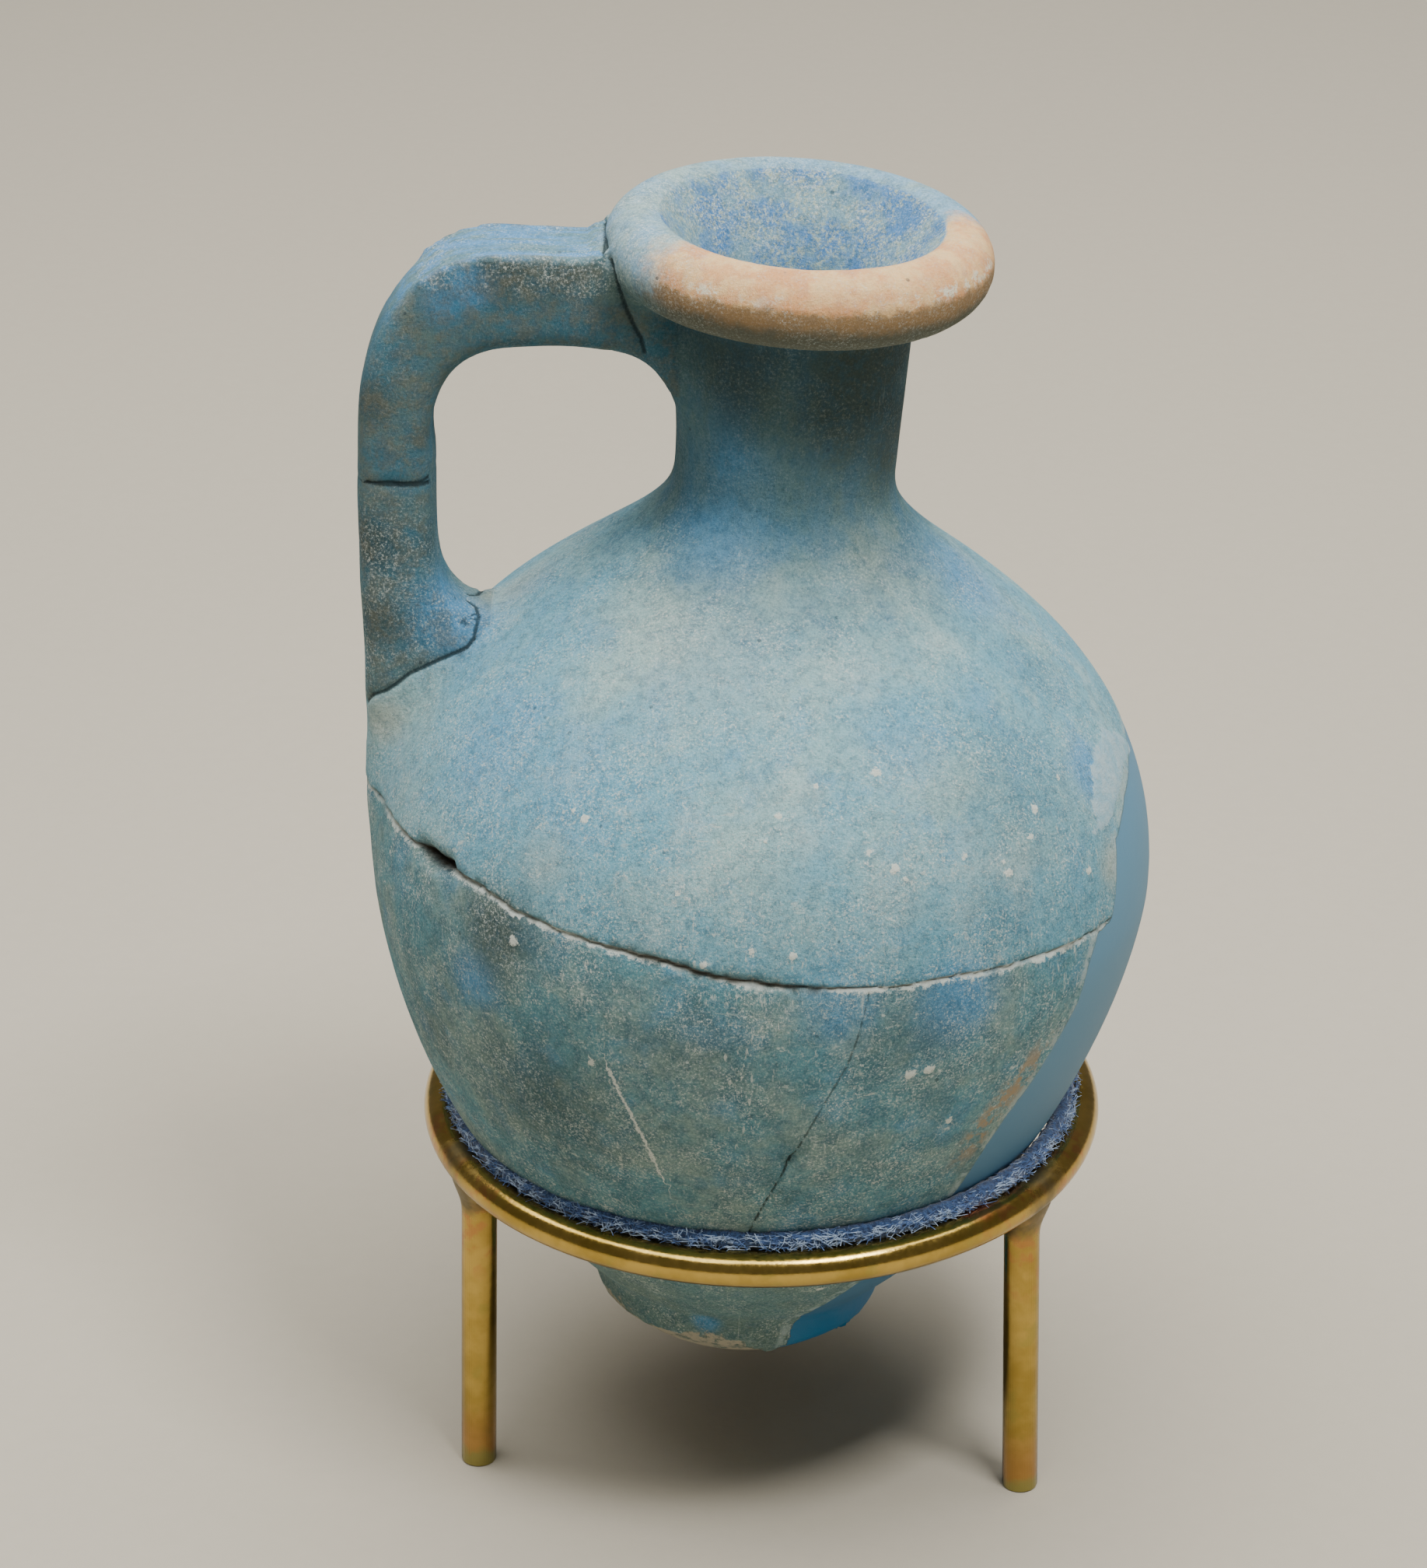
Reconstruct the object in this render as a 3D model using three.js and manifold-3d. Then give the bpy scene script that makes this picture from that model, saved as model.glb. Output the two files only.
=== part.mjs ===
// A handled jug of blue frit, mended from its sherds and held upright in a brass ring stand lined with felt.
// Millimetres, +Z up, +X to the right as seen from the front, +Y away from the front.
// The origin is on the table, under the middle of the whole object's box.

import * as THREE from 'three';
import { mergeVertices } from 'three/addons/utils/BufferGeometryUtils.js';
import Module from 'manifold-3d';

// Stand: one size of brass rod makes the ring and the three legs brazed under it.
const rodDiameter = 4.76;
const ringRadius = 43.4; // to the rod's centreline
const ringHeight = 46.6; // the rod's centreline above the table
const legSplay = 1.5; // degrees that a leg leans outwards towards its foot
const legInset = 1.85; // a leg's top stands this far inside the ring's centreline
const firstLegTurn = -64.7; // degrees round from the front, plus to the right
const legNames = ['stand_leg_left', 'stand_leg_right', 'stand_leg_back'];
const jointGap = 0.3; // between a leg's coped top and the ring

// Felt strip between the ring and the jug.
const feltThickness = 1.8;
const feltAbove = 2.2; // shows above the ring's top
const feltBelow = 1.2; // ends this far below the ring's centreline, over the legs' tops
const feltFold = 1.2; // extra width where the strip folds over the ring
const feltGap = 0.2; // clearance to the ring and to the jug
const feltPressed = 0.65; // from ring to jug where the jug bears hardest

// Jug: heights are measured from its chipped base, along its own axis.
const baseFlat = 10.5; // radius of the broken flat under the foot
const footRadius = 20.3;
const footHeight = 9.9;
const footDrift = 0.8; // the thrown foot has settled this far to the right of the axis
const flareAngle = 42; // degrees above level at which the body leaves the foot
const bellyRadius = 51.5;
const bellyHeight = 71;
const neckRadius = 14.05;
const neckHeight = 125; // where the shoulder has run into the neck
const throatRadius = 15.1; // the neck just under the lip
const lipRadius = 24.5;
const lipWidth = 9.6; // of the rolled rim, from inside to outside
const lipDepth = 10; // of the rolled rim, from underside to top
const lipHeight = 159; // the jug's full height
const lipTip = [1, -2]; // degrees that the rim leans on the neck: right, back
const mouthRadius = 17.4;
const funnelDepth = 15; // from the mouth down to the bore
const boreRadius = 9.8;
const wall = 4.5;
const floorThickness = 11;

// Handle: a strap in the plane of the axis, out to the left.
const handleReach = 54.4; // its outer face from the axis
const handleWidth = 14;
const gripThickness = 9.3; // of the upright
const bridgeThickness = 12.5; // of the level part
const bridgeDrop = 5.6; // the level part's top below the top of the lip
const outerCorner = [18.4, 24.5]; // width and height of the outer bend
const innerCorner = [11, 12]; // width and height of the inner bend
const neckFillet = [10, 9]; // width and height of the fillet under the bridge
const crotchFillet = [9.5, 9]; // width and height of the fillet on the shoulder
const edgeRound = 2.5; // rounding of the strap's long edges
const rootProud = 0.6; // the root's outer face stands this far out from the belly
const rootHeight = 76; // where the root has come out fully from the belly
const rootTaper = 7; // it runs out into the belly over this height

// How the jug sits in the ring.
const jugLean = [3.1, 1.43]; // degrees: right, back
const jugShift = [2.36, 0.6]; // the axis crosses the ring this far to the left and forward

const roundSides = 44;
const ringSides = 44;
const rodSides = 12;
const bendFullness = 0.62; // 0.55 is a true quarter circle, more is squarer

const radians = THREE.MathUtils.degToRad;
const rodRadius = rodDiameter / 2;

const wasm = await Module();
wasm.setup();

// A closed three.js geometry becomes a solid that can be joined and cut.
function solidFrom(geometry) {
  const bare = geometry.clone();
  bare.deleteAttribute('normal');
  bare.deleteAttribute('uv');
  const merged = mergeVertices(bare, 1e-3);
  const index = merged.index.array;
  const kept = [];
  for (let i = 0; i < index.length; i += 3) {
    const [a, b, c] = [index[i], index[i + 1], index[i + 2]];
    if (a !== b && b !== c && c !== a) kept.push(a, b, c);
  }
  const vertProperties = new Float32Array(merged.attributes.position.array);
  return new wasm.Manifold(new wasm.Mesh({ numProp: 3, vertProperties, triVerts: new Uint32Array(kept) }));
}

function geometryFrom(solid) {
  const mesh = solid.getMesh();
  const geometry = new THREE.BufferGeometry();
  geometry.setAttribute('position', new THREE.BufferAttribute(mesh.vertProperties, 3));
  geometry.setIndex(new THREE.BufferAttribute(mesh.triVerts, 1));
  geometry.computeVertexNormals();
  return geometry;
}

// A profile of (radius, height) points turned round the Z axis.
function turned(profile, sides) {
  const geometry = new THREE.LatheGeometry(profile, sides);
  geometry.rotateX(Math.PI / 2);
  return geometry;
}

function point(radius, height) {
  return new THREE.Vector2(radius, height);
}

// An outline moved sideways by a distance, plus is to the right of its direction.
function moved(outline, distance) {
  return outline.map((p, i) => {
    const before = outline[Math.max(i - 1, 0)];
    const after = outline[Math.min(i + 1, outline.length - 1)];
    const along = after.clone().sub(before).normalize();
    return point(p.x + along.y * distance, p.y - along.x * distance);
  });
}

// The body's outline from the foot's broken flat, over the belly, to the foot of the neck.
const footCurve = new THREE.QuadraticBezierCurve(
  point(baseFlat, 0),
  point(footRadius - 2.4, 0.3),
  point(footRadius - 0.5, footHeight * 0.75),
);
const flareReach = 0.64 * (bellyHeight - footHeight);
const flareCurve = new THREE.CubicBezierCurve(
  point(footRadius, footHeight),
  point(
    footRadius + flareReach * Math.cos(radians(flareAngle)),
    footHeight + flareReach * Math.sin(radians(flareAngle)),
  ),
  point(bellyRadius, bellyHeight - 1),
  point(bellyRadius, bellyHeight),
);
const shoulderRise = neckHeight - bellyHeight;
const shoulderCurve = new THREE.CubicBezierCurve(
  point(bellyRadius, bellyHeight),
  point(bellyRadius, bellyHeight + 0.65 * shoulderRise),
  point(neckRadius, neckHeight - 0.23 * shoulderRise),
  point(neckRadius, neckHeight),
);
const lipCentre = lipHeight - lipDepth / 2;
const lipBottom = lipHeight - lipDepth;
const flare = flareCurve.getPoints(9);
const shoulder = shoulderCurve.getPoints(12).slice(1);
const bodyOutline = [...flare, ...shoulder];

// The height on the shoulder at which the body has a given radius.
function shoulderHeightAt(radius) {
  const i = shoulder.findIndex((p) => p.x < radius);
  const [low, high] = [shoulder[i - 1], shoulder[i]];
  const share = (low.x - radius) / (low.x - high.x);
  return low.y + share * (high.y - low.y);
}

// How far the clay at a height has drifted sideways: most at the base, nothing from the belly up.
function driftAt(height) {
  return footDrift * Math.max(0, 1 - height / bellyHeight) ** 3;
}

function drifted(geometry) {
  const places = geometry.attributes.position;
  for (let i = 0; i < places.count; i += 1) {
    places.setX(i, places.getX(i) + driftAt(places.getZ(i)));
  }
  return geometry;
}

function bodySolid() {
  const profile = [
    point(0, 0),
    ...footCurve.getPoints(4),
    ...bodyOutline,
    point(throatRadius, lipBottom),
    point(throatRadius, lipCentre),
    point(0, lipCentre),
  ];
  return solidFrom(drifted(turned(profile, roundSides)));
}

// What tips with the rim is made round the middle of its underside, then turned there.
function onTippedRim(geometry) {
  geometry.translate(0, 0, -lipBottom);
  geometry.rotateY(radians(lipTip[0]));
  geometry.rotateX(-radians(lipTip[1]));
  geometry.translate(0, 0, lipBottom);
  return solidFrom(geometry);
}

function lipSolid() {
  const rollRadius = lipRadius - lipWidth / 2;
  const roll = new THREE.EllipseCurve(
    rollRadius, lipCentre, lipWidth / 2, lipDepth / 2, -Math.PI / 2, Math.PI / 2,
  ).getPoints(8);
  return onTippedRim(turned([point(0, lipBottom), ...roll, point(0, lipHeight)], roundSides));
}

// The mouth narrows like a funnel to the bore of the neck.
function funnelSolid() {
  const boreTop = lipHeight - funnelDepth;
  const funnel = new THREE.QuadraticBezierCurve(
    point(boreRadius, boreTop),
    point(boreRadius + 1.2, boreTop + 0.6 * funnelDepth),
    point(mouthRadius + 0.8, lipHeight),
  ).getPoints(4);
  const above = lipHeight + lipDepth;
  const profile = [point(0, boreTop - 1), point(boreRadius, boreTop - 1), ...funnel];
  profile.push(point(mouthRadius + 1.5, above), point(0, above));
  return onTippedRim(turned(profile, roundSides));
}

// The hollow follows the outside at the wall's thickness, down to a floor over the solid foot.
function hollowSolid() {
  const inside = moved(bodyOutline, -wall);
  const kept = inside.filter((p) => p.y > floorThickness + 2 && p.x > boreRadius);
  const floor = new THREE.QuadraticBezierCurve(
    point(0, floorThickness),
    point(kept[0].x * 0.6, floorThickness),
    kept[0],
  ).getPoints(4);
  const boreTop = lipHeight - funnelDepth;
  const last = kept[kept.length - 1];
  const profile = [...floor, ...kept.slice(1), point(boreRadius, last.y + 2), point(boreRadius, boreTop)];
  profile.push(point(0, boreTop));
  return solidFrom(drifted(turned(profile, roundSides)));
}

// The strap's side view, drawn with the axis at x = 0 and its outer face to the left.
// Its ends run on into the hollow, which cuts them off flush with the inside of the wall.
function handleShape() {
  const top = lipHeight - bridgeDrop;
  const underside = top - bridgeThickness;
  const innerFace = handleReach - gripThickness;
  const rootX = -(bellyRadius + rootProud);
  const rootEnd = -(bellyRadius - 2 * rootProud);
  const rootBottom = rootHeight - rootTaper - wall;
  const bendStart = top - outerCorner[1];
  const bendEnd = -(handleReach - outerCorner[0]);
  const crotchX = -(innerFace - crotchFillet[0]);
  const crotchHeight = shoulderHeightAt(innerFace - crotchFillet[0]);
  const upright = bendStart - rootHeight;
  const full = bendFullness;

  const side = new THREE.Shape();
  side.moveTo(-(bellyRadius - wall), rootBottom);
  side.lineTo(rootEnd, rootHeight - rootTaper);
  side.quadraticCurveTo(rootX, rootHeight - rootTaper / 2, rootX, rootHeight);
  side.bezierCurveTo(
    rootX, rootHeight + 0.4 * upright,
    -handleReach, bendStart - 0.35 * upright,
    -handleReach, bendStart,
  );
  side.bezierCurveTo(
    -handleReach, bendStart + full * outerCorner[1],
    bendEnd - full * outerCorner[0], top,
    bendEnd, top,
  );
  side.lineTo(0, top);
  side.lineTo(0, underside - neckFillet[1]);
  side.lineTo(-neckRadius, underside - neckFillet[1]);
  side.quadraticCurveTo(-neckRadius - 1, underside, -neckRadius - neckFillet[0], underside);
  side.lineTo(-(innerFace - innerCorner[0]), underside);
  side.bezierCurveTo(
    -(innerFace - (1 - full) * innerCorner[0]), underside,
    -innerFace, underside - (1 - full) * innerCorner[1],
    -innerFace, underside - innerCorner[1],
  );
  side.lineTo(-innerFace + 1, crotchHeight + crotchFillet[1]);
  side.quadraticCurveTo(-innerFace + 2, crotchHeight - 1.5, crotchX, crotchHeight);
  side.lineTo(crotchX + crotchFillet[0], crotchHeight + 1.5);
  side.lineTo(crotchX + crotchFillet[0], rootBottom);
  side.closePath();
  return side;
}

function handleSolid() {
  const between = handleWidth - 2 * edgeRound;
  const geometry = new THREE.ExtrudeGeometry(handleShape(), {
    depth: between,
    bevelThickness: edgeRound,
    bevelSize: edgeRound,
    bevelOffset: -edgeRound,
    bevelSegments: 2,
    curveSegments: 6,
  });
  geometry.rotateX(Math.PI / 2);
  geometry.translate(0, between / 2, 0);
  return solidFrom(geometry);
}

function jugGeometry() {
  const clay = bodySolid().add(lipSolid()).add(handleSolid());
  return geometryFrom(clay.subtract(hollowSolid()).subtract(funnelSolid()));
}

const jugAxis = new THREE.Vector3(Math.sin(radians(jugLean[0])), Math.sin(radians(jugLean[1])), 1).normalize();
const jugTurn = new THREE.Quaternion().setFromUnitVectors(new THREE.Vector3(0, 0, 1), jugAxis);

// Where the jug's base centre lies when a given height of its axis crosses the ring's plane.
function jugPlace(heightAtRing) {
  return new THREE.Vector3(-jugShift[0], -jugShift[1], ringHeight).addScaledVector(jugAxis, -heightAtRing);
}

// The smallest distance from the ring's rod to the body.
function gapToRing(heightAtRing) {
  const base = jugPlace(heightAtRing);
  let smallest = Infinity;
  for (const p of flareCurve.getPoints(60)) {
    for (let turn = 0; turn < 360; turn += 5) {
      const x = p.x * Math.cos(radians(turn)) + driftAt(p.y);
      const y = p.x * Math.sin(radians(turn));
      const q = new THREE.Vector3(x, y, p.y).applyQuaternion(jugTurn).add(base);
      const toRod = Math.hypot(Math.hypot(q.x, q.y) - ringRadius, q.z - ringHeight) - rodRadius;
      smallest = Math.min(smallest, toRod);
    }
  }
  return smallest;
}

// The jug comes down into the ring until the felt is pressed thin at the tightest place.
function seatedHeight() {
  let low = footHeight;
  let high = bellyHeight;
  for (let i = 0; i < 30; i += 1) {
    const middle = (low + high) / 2;
    if (gapToRing(middle) > feltPressed) low = middle;
    else high = middle;
  }
  return low;
}

// The ring, or the room that it takes with some extra all round.
function ringSolid(extra) {
  const circle = new THREE.EllipseCurve(
    ringRadius, 0, rodRadius + extra, rodRadius + extra, 0, 2 * Math.PI,
  ).getPoints(rodSides);
  const geometry = turned(circle, ringSides);
  geometry.translate(0, 0, ringHeight);
  return solidFrom(geometry);
}

// A leg stands flat on the table and is coped to the ring's underside, below the felt.
function legGeometry(turn) {
  const topHeight = ringHeight - feltBelow - feltGap;
  const spare = 2 * rodDiameter;
  const rod = new THREE.CylinderGeometry(rodRadius, rodRadius, ringHeight + spare, 2 * rodSides);
  rod.rotateX(Math.PI / 2);
  rod.translate(0, 0, -(ringHeight + spare) / 2);
  rod.rotateY(-radians(legSplay));
  rod.translate(ringRadius - legInset, 0, topHeight);
  const below = new THREE.BoxGeometry(4 * ringRadius, 4 * ringRadius, 2 * spare);
  below.translate(0, 0, -spare);
  const turnFromRight = radians(turn - 90);
  rod.rotateZ(turnFromRight);
  return geometryFrom(solidFrom(rod).subtract(solidFrom(below)).subtract(ringSolid(jointGap)));
}

function feltGeometry(jugMatrix) {
  const outer = ringRadius - rodRadius - feltGap;
  const inner = outer - feltThickness;
  const lean = Math.tan(radians(90 - flareAngle)) / 2;
  const topHeight = rodRadius + feltAbove;
  const profile = [
    point(inner, -feltBelow),
    point(outer, -feltBelow),
    point(outer + rodRadius, rodRadius),
    point(inner + lean * topHeight + feltThickness + feltFold, topHeight),
    point(inner + lean * topHeight, topHeight),
    point(inner, 0),
    point(inner, -feltBelow),
  ];
  const strip = turned(profile, ringSides);
  strip.translate(0, 0, ringHeight);
  const roomProfile = [point(0, footHeight), ...moved(flare, feltGap), point(0, bellyHeight)];
  const room = drifted(turned(roomProfile, roundSides));
  room.applyMatrix4(jugMatrix);
  return geometryFrom(solidFrom(strip).subtract(ringSolid(feltGap)).subtract(solidFrom(room)));
}

const frit = new THREE.MeshStandardMaterial({ color: 0x7fa6b0, roughness: 0.85, metalness: 0 });
const brass = new THREE.MeshStandardMaterial({ color: 0xa8843c, roughness: 0.35, metalness: 1 });
const felt = new THREE.MeshStandardMaterial({ color: 0x3f6296, roughness: 1, metalness: 0 });

function named(name, geometry, material) {
  const mesh = new THREE.Mesh(geometry, material.clone());
  mesh.name = name;
  return mesh;
}

const jugSeat = new THREE.Group();
jugSeat.quaternion.copy(jugTurn);
jugSeat.position.copy(jugPlace(seatedHeight()));
jugSeat.updateMatrix();
jugSeat.add(named('jug', jugGeometry(), frit));

const stand = new THREE.Group();
stand.add(named('stand_ring', geometryFrom(ringSolid(0)), brass));
legNames.forEach((name, i) => {
  stand.add(named(name, legGeometry(firstLegTurn + (i * 360) / legNames.length), brass));
});
stand.add(named('felt_lining', feltGeometry(jugSeat.matrix), felt));

// The whole object is moved so that the origin lies under the middle of its box.
const model = new THREE.Group();
model.add(jugSeat, stand);
const box = new THREE.Box3().setFromObject(model, true);
const middle = box.getCenter(new THREE.Vector3());
model.position.set(-middle.x, -middle.y, -box.min.z);

export default model;
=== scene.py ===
# %% [markdown]
# # A mended blue jug in a brass ring stand
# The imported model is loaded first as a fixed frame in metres. Everything made here sits
# where the frame says, and only adds shape and finish that a plain solid doesn't carry.

# %% Load the frame
import math
import bpy
import numpy as np
from mathutils import Matrix, Vector, noise
from mathutils.bvhtree import BVHTree


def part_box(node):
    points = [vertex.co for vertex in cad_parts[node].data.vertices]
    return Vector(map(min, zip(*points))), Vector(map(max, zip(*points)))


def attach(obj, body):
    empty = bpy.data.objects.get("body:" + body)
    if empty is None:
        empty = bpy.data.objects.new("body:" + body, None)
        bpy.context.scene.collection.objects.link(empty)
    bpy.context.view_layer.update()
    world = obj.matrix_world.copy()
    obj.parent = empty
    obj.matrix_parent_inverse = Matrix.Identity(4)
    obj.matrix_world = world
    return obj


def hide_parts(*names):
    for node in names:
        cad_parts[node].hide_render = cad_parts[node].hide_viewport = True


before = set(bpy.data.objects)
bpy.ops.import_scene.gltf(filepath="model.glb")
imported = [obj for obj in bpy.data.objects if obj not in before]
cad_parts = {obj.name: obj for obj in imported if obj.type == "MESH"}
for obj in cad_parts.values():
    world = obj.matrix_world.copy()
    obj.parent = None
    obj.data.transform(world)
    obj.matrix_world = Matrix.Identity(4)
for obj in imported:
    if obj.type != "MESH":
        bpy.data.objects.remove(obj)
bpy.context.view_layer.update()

MM = 0.001
ring_low, ring_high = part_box("stand_ring")
ring_centre = (ring_low + ring_high) / 2
print("ring centre", [round(v / MM, 2) for v in ring_centre])

# %% [markdown]
# The camera stands where the photographer stood: 64 cm from the ring, looking down on it
# at 27 degrees through a long lens. The frame is 1835 x 2016 pixels, so a pixel of the
# photograph can be turned into a line of sight, which later places small marks.

# %% Camera
PHOTO_WIDE, PHOTO_HIGH, FOCAL = 1835, 2016, 6000
camera_from_ring = Vector((-6.483, -547.788, 323.961))
camera_place = ring_centre + camera_from_ring * MM
looking_down = math.radians(26.777)
SENSOR = 36
camera = bpy.data.objects.new("camera", bpy.data.cameras.new("camera"))
bpy.context.scene.collection.objects.link(camera)
camera.data.sensor_width = SENSOR
camera.data.lens = FOCAL * SENSOR / PHOTO_HIGH
camera.data.clip_start, camera.data.clip_end = 0.05, 20
camera.location = camera_place
camera.rotation_euler = (math.pi / 2 - looking_down, 0, 0)
bpy.context.scene.camera = camera


def line_of_sight(across, down):
    ahead = Vector((across - PHOTO_WIDE / 2, PHOTO_HIGH / 2 - down, -FOCAL)).normalized()
    return camera.rotation_euler.to_matrix() @ ahead


# %% [markdown]
# ## Hand tools
# A few small helpers stand for what a hand does over and over: clear the selection, draw an
# outline by extruding a point, spin it, apply a modifier, and read or set the vertices.

# %% Hand tools
def rest():
    if bpy.context.object and bpy.context.object.mode != "OBJECT":
        bpy.ops.object.mode_set(mode="OBJECT")
    bpy.ops.object.select_all(action="DESELECT")


def pick(piece, *others):
    rest()
    for one in (piece, *others):
        one.select_set(True)
    bpy.context.view_layer.objects.active = piece


def curve(points, steps):
    """Points along a Bezier curve of any order."""
    t = np.linspace(0, 1, steps + 1)[:, None]
    rows = [np.repeat(np.array([p], float), steps + 1, 0) for p in points]
    while len(rows) > 1:
        rows = [a * (1 - t) + b * t for a, b in zip(rows, rows[1:])]
    return [tuple(p) for p in rows[0]]


def draw(name, outline):
    """An outline of (x, z) in millimetres, drawn by extruding one point along it."""
    rest()
    bpy.ops.mesh.primitive_plane_add(size=MM, location=(0, 0, 0))
    piece = bpy.context.object
    piece.name = piece.data.name = name
    bpy.ops.object.mode_set(mode="EDIT")
    bpy.ops.mesh.select_mode(type="VERT")
    bpy.ops.mesh.select_all(action="SELECT")
    bpy.ops.mesh.merge(type="CENTER")
    places = [Vector((x * MM, 0, z * MM)) for x, z in outline]
    bpy.ops.transform.translate(value=places[0])
    for start, end in zip(places, places[1:]):
        bpy.ops.mesh.extrude_region_move(TRANSFORM_OT_translate={"value": end - start})
    return piece


SEAM_GAP = 0.005  # vertices nearer than this are one where a spin closes


def spin(piece, steps):
    """Turn the drawn outline round the Z axis into a closed shell."""
    bpy.ops.mesh.select_all(action="SELECT")
    bpy.ops.mesh.spin(steps=steps, angle=2 * math.pi, center=(0, 0, 0), axis=(0, 0, 1))
    bpy.ops.mesh.select_all(action="SELECT")
    bpy.ops.mesh.remove_doubles(threshold=SEAM_GAP * MM)
    bpy.ops.mesh.normals_make_consistent(inside=False)
    bpy.ops.object.mode_set(mode="OBJECT")
    return piece


def change(piece, kind, **settings):
    """Add a modifier and apply it at once."""
    pick(piece)
    modifier = piece.modifiers.new(kind.lower(), kind)
    for name, value in settings.items():
        setattr(modifier, name, value)
    bpy.ops.object.modifier_apply(modifier=modifier.name)


def places_of(piece):
    flat = np.empty(len(piece.data.vertices) * 3)
    piece.data.vertices.foreach_get("co", flat)
    return flat.reshape(-1, 3)


def set_places(piece, places):
    piece.data.vertices.foreach_set("co", places.ravel())
    piece.data.update()


def directions_of(piece):
    flat = np.empty(len(piece.data.vertices) * 3)
    piece.data.vertex_normals.foreach_get("vector", flat)
    return flat.reshape(-1, 3)


def choose(piece, mask):
    """Select vertices by a mask and go into edit mode."""
    pick(piece)
    bpy.ops.object.mode_set(mode="EDIT")
    bpy.ops.mesh.select_mode(type="VERT")
    bpy.ops.mesh.select_all(action="DESELECT")
    bpy.ops.object.mode_set(mode="OBJECT")
    piece.data.vertices.foreach_set("select", mask)
    bpy.ops.object.mode_set(mode="EDIT")


def wander(places, size, seed=0.0):
    """Smooth noise from -1 to 1 at each place; size is that of its lumps in millimetres."""
    scaled = places / (size * MM)
    return np.array([noise.noise(Vector((x + seed, y - seed, z + 2 * seed)))
                     for x, y, z in scaled])


def note(piece, name, values):
    """Keep one number for each vertex, for the material to read."""
    if name not in piece.data.attributes:
        piece.data.attributes.new(name, "FLOAT", "POINT")
    piece.data.attributes[name].data.foreach_set("value", np.asarray(values, np.float32))


def soft(values, low, high):
    t = np.clip((values - low) / (high - low), 0, 1)
    return t * t * (3 - 2 * t)


# %% [markdown]
# ## The jug's outline
# The jug is modelled upright at the origin, in its own frame, and is leaned into the ring at
# the end. Its outline is drawn once from named sizes: a broken foot, a wide belly, a narrow
# neck, a rolled rim, and a mouth that narrows like a funnel.

# %% Jug sizes in millimetres, heights from its chipped base
foot_radius, foot_height, base_flat, foot_drift = 20.3, 9.9, 10.5, 0.8
flare_angle, belly_radius, belly_height = math.radians(42), 51.5, 71
neck_radius, neck_height, throat_radius = 14.05, 125, 15.1
lip_radius, lip_width, lip_depth, lip_height = 24.5, 9.6, 10, 159
bore_radius, bore_top, wall, floor_height = 9.8, 143, 4.5, 11
lip_bottom = lip_height - lip_depth
neck_top = lip_bottom - 1.2

foot_line = curve([(base_flat, 0), (foot_radius - 2.4, 0.3),
                   (foot_radius - 0.5, 0.75 * foot_height)], 8)
reach = 0.64 * (belly_height - foot_height)
flare_line = curve([(foot_radius, foot_height),
                    (foot_radius + reach * math.cos(flare_angle),
                     foot_height + reach * math.sin(flare_angle)),
                    (belly_radius, belly_height - 1), (belly_radius, belly_height)], 26)
rise = neck_height - belly_height
shoulder_line = curve([(belly_radius, belly_height), (belly_radius, belly_height + 0.65 * rise),
                       (neck_radius, neck_height - 0.23 * rise), (neck_radius, neck_height)], 30)[1:]
neck_line = [(neck_radius + (throat_radius - neck_radius) * t,
              neck_height + (neck_top - neck_height) * t) for t in (0.2, 0.4, 0.6, 0.8, 1.0)]
roll_x, roll_z = lip_radius - lip_width / 2, lip_height - lip_depth / 2
lip_line = [(roll_x + lip_width / 2 * math.cos(a), roll_z + lip_depth / 2 * math.sin(a))
            for a in np.radians(np.arange(-80, 101, 12))]
mouth_line = curve([(18.0, 158.6), (16.6, 156.6), (12.6, 152.5), (10.6, 148), (bore_radius, bore_top)], 9)
body_line = flare_line + shoulder_line
outside_line = foot_line + body_line + neck_line
outside_heights = np.array([z for x, z in outside_line])
outside_radii = np.array([x for x, z in outside_line])


def radius_at(height):
    return np.interp(height, outside_heights, outside_radii)


# %% Spin the body, neck and rim
jug = draw("jug_of_blue_frit", [(0, 0)] + outside_line + lip_line + mouth_line + [(0, bore_top)])
spin(jug, 150)
print("body", len(jug.data.vertices), "vertices")

# %% [markdown]
# ## The handle
# The real handle is a strap of frit, bent over in one sweep from the rim and pressed on to
# the shoulder. Its side view is drawn as a closed outline, filled, pulled out to the
# strap's width, and its long edges are rounded with a bevel.

# %% Handle
handle_reach, handle_width, grip, bridge, edge_round = 54.4, 14, 9.3, 12.5, 2.6
bridge_top = lip_height - 5.6
under = bridge_top - bridge
inner = handle_reach - grip
bend_start, bend_end = bridge_top - 24.5, 36  # a height, and a distance from the axis
root_height, root_taper = 76, 7


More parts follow.
